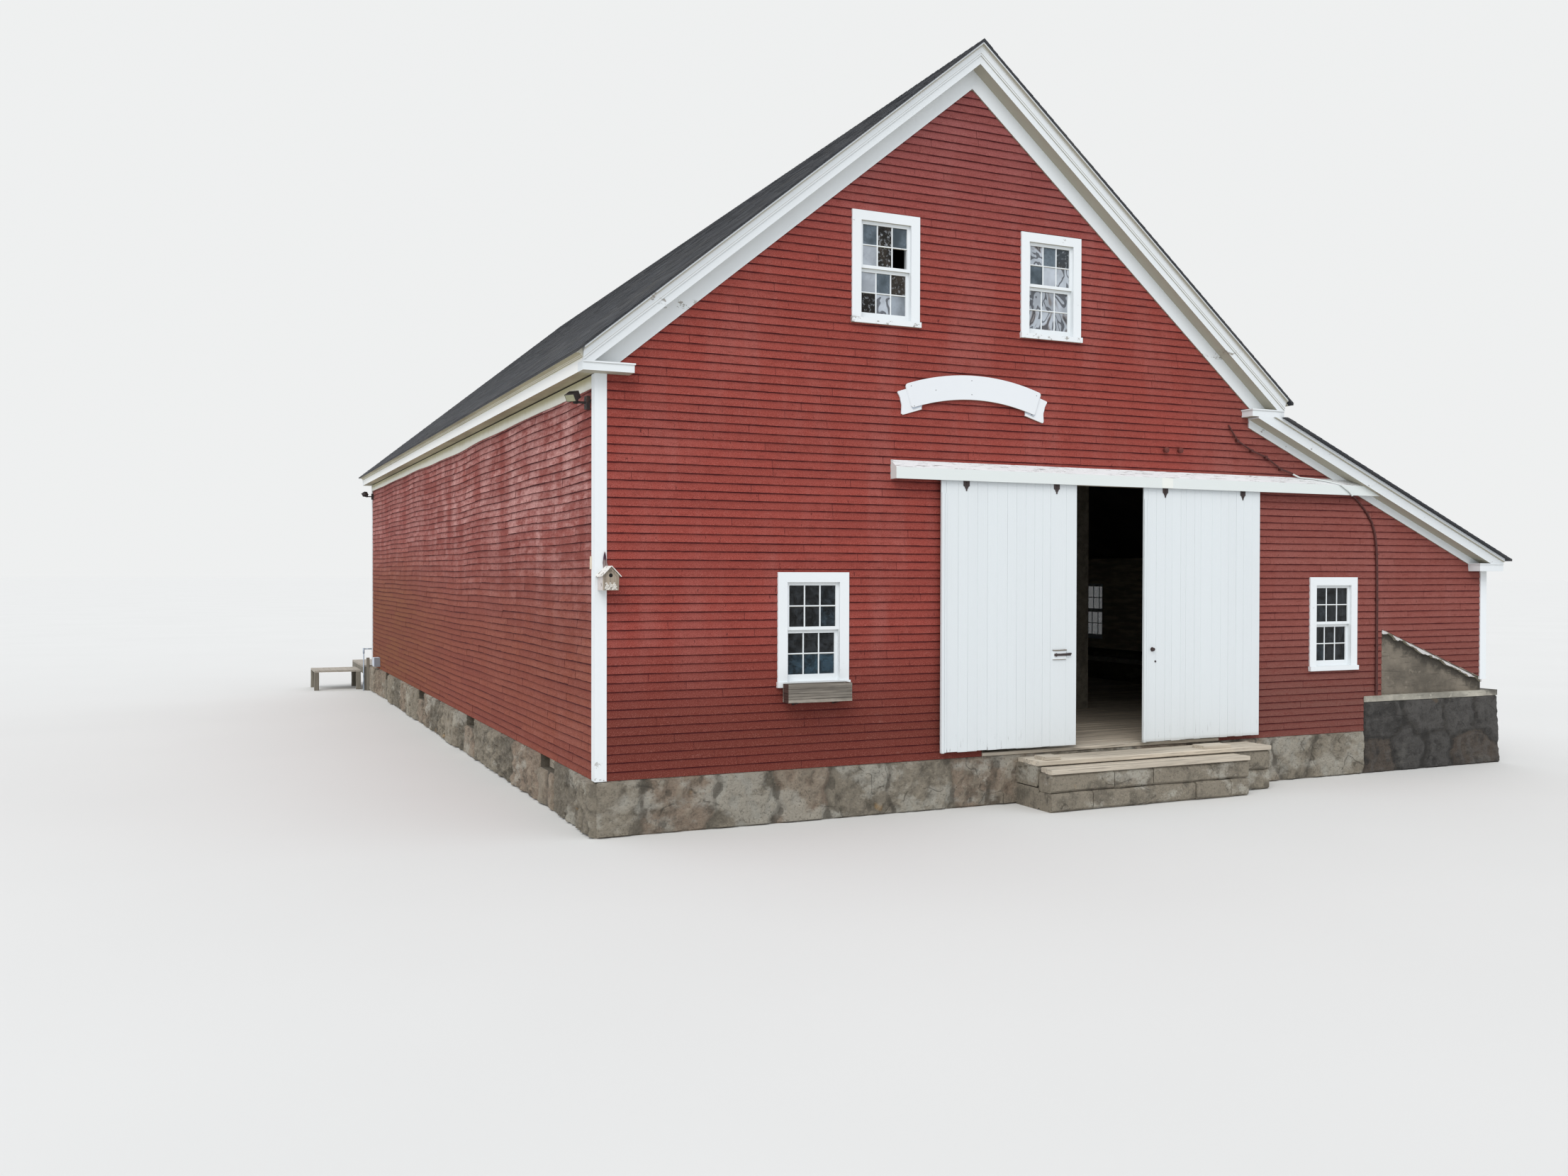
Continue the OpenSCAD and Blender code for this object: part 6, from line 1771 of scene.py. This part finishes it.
class BARN_OT_stage(Operator):
    """Add the floor, the soft light and the camera at the photograph's place"""

    bl_idname = "barn.stage"
    bl_label = "Stage"

    def execute(self, context):
        scene = context.scene
        scene.view_settings.view_transform = "Standard"
        self.floor(scene)
        self.light(scene)
        self.camera(scene)
        return {"FINISHED"}

    def floor(self, scene):
        """A flat square grid at ground level."""
        x, y = (1800 * g - 900 for g in unit_grid(9, 9))
        verts, quads, _ = sheet(x, y, 0 * x - 0.001)
        mesh = bpy.data.meshes.new("floor")
        mesh.from_pydata(verts.tolist(), [], quads.tolist())
        mesh.materials.append(plain_floor())
        floor = bpy.data.objects.new("floor", mesh)
        scene.collection.objects.link(floor)

    def light(self, scene):
        """An even pale sky, plain white to the camera, and one broad soft sun."""
        world = bpy.data.worlds.new("pale_sky")
        world.use_nodes = True
        scene.world = world
        tree = world.node_tree
        sky = next(n for n in tree.nodes if n.type == "BACKGROUND")
        out = next(n for n in tree.nodes if n.type == "OUTPUT_WORLD")
        sky.inputs["Color"].default_value = (0.93, 0.96, 1.0, 1.0)
        sky.inputs["Strength"].default_value = 0.93
        seen = tree.nodes.new("ShaderNodeBackground")
        seen.inputs["Color"].default_value = (0.86, 0.87, 0.87, 1.0)
        seen.inputs["Strength"].default_value = 1.0
        path, mix = tree.nodes.new("ShaderNodeLightPath"), tree.nodes.new("ShaderNodeMixShader")
        share = path.outputs["Is Camera Ray"]
        for kind in ("Is Glossy Ray", "Is Transmission Ray"):
            either = tree.nodes.new("ShaderNodeMath")
            either.operation = "MAXIMUM"
            tree.links.new(share, either.inputs[0])
            tree.links.new(path.outputs[kind], either.inputs[1])
            share = either.outputs[0]
        tree.links.new(share, mix.inputs[0])
        tree.links.new(sky.outputs[0], mix.inputs[1])
        tree.links.new(seen.outputs[0], mix.inputs[2])
        tree.links.new(mix.outputs[0], out.inputs["Surface"])
        sun = bpy.data.lights.new("soft_sun", "SUN")
        sun.energy, sun.angle, sun.color = 1.34, math.radians(40), (1.0, 0.97, 0.92)
        lamp = bpy.data.objects.new("soft_sun", sun)
        lamp.rotation_mode = "QUATERNION"
        lamp.rotation_quaternion = Vector((0.45, 0.55, -0.70)).to_track_quat("-Z", "Y")
        scene.collection.objects.link(lamp)

    def camera(self, scene):
        """The photograph's eye: 29.6 mm on a 36 mm sensor, turned 24.47 degrees to the right."""
        data = bpy.data.cameras.new("photo_camera")
        data.sensor_fit, data.sensor_width, data.lens = "HORIZONTAL", 36.0, 29.60
        data.clip_start, data.clip_end = 0.1, 3000.0
        camera = bpy.data.objects.new("photo_camera", data)
        yaw, pitch, roll = (math.radians(a) for a in (24.47, -0.60, 0.12))
        level = np.array([math.sin(yaw), math.cos(yaw), 0.0])
        ahead = level * math.cos(pitch) + np.array([0.0, 0.0, math.sin(pitch)])
        flat = np.array([math.cos(yaw), -math.sin(yaw), 0.0])
        up = np.cross(flat, ahead)
        right = flat * math.cos(roll) + up * math.sin(roll)
        up = up * math.cos(roll) - flat * math.sin(roll)
        eye = np.array([-4.137, -14.244, 2.369]) + ORIGIN
        turn = np.stack([right, up, -ahead], 1)
        camera.matrix_world = Matrix.Translation(Vector(eye)) @ Matrix(turn.tolist()).to_4x4()
        scene.collection.objects.link(camera)
        scene.camera = camera


class BARN_PT_panel(Panel):
    """The sizes, the colours and a button for each step"""

    bl_idname = "BARN_PT_panel"
    bl_label = "Barn"
    bl_space_type = "VIEW_3D"
    bl_region_type = "UI"
    bl_category = "Barn"

    def draw(self, context):
        scene = context.scene
        for group in (scene.barn_sizes, scene.barn_colours):
            column = self.layout.column(align=True)
            for key in group.__annotations__:
                column.prop(group, key)
        for step in STEPS:
            self.layout.operator(step.bl_idname)


STEPS = (BARN_OT_finishes, BARN_OT_clapboards, BARN_OT_shingles, BARN_OT_stonework, BARN_OT_doors,
         BARN_OT_windows, BARN_OT_planking, BARN_OT_fittings, BARN_OT_stage)
CLASSES = (BarnSizes, BarnColours) + STEPS + (BARN_PT_panel,)


def register():
    """Make the classes and their settings known to Blender."""
    for item in CLASSES:
        bpy.utils.register_class(item)
    bpy.types.Scene.barn_sizes = PointerProperty(type=BarnSizes)
    bpy.types.Scene.barn_colours = PointerProperty(type=BarnColours)


def unregister():
    """Take them away again."""
    del bpy.types.Scene.barn_colours
    del bpy.types.Scene.barn_sizes
    for item in reversed(CLASSES):
        bpy.utils.unregister_class(item)


def main():
    """Build everything in order."""
    register()
    for step in STEPS:
        group, name = step.bl_idname.split(".")
        getattr(getattr(bpy.ops, group), name)()
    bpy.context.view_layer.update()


if __name__ == "__main__":
    main()
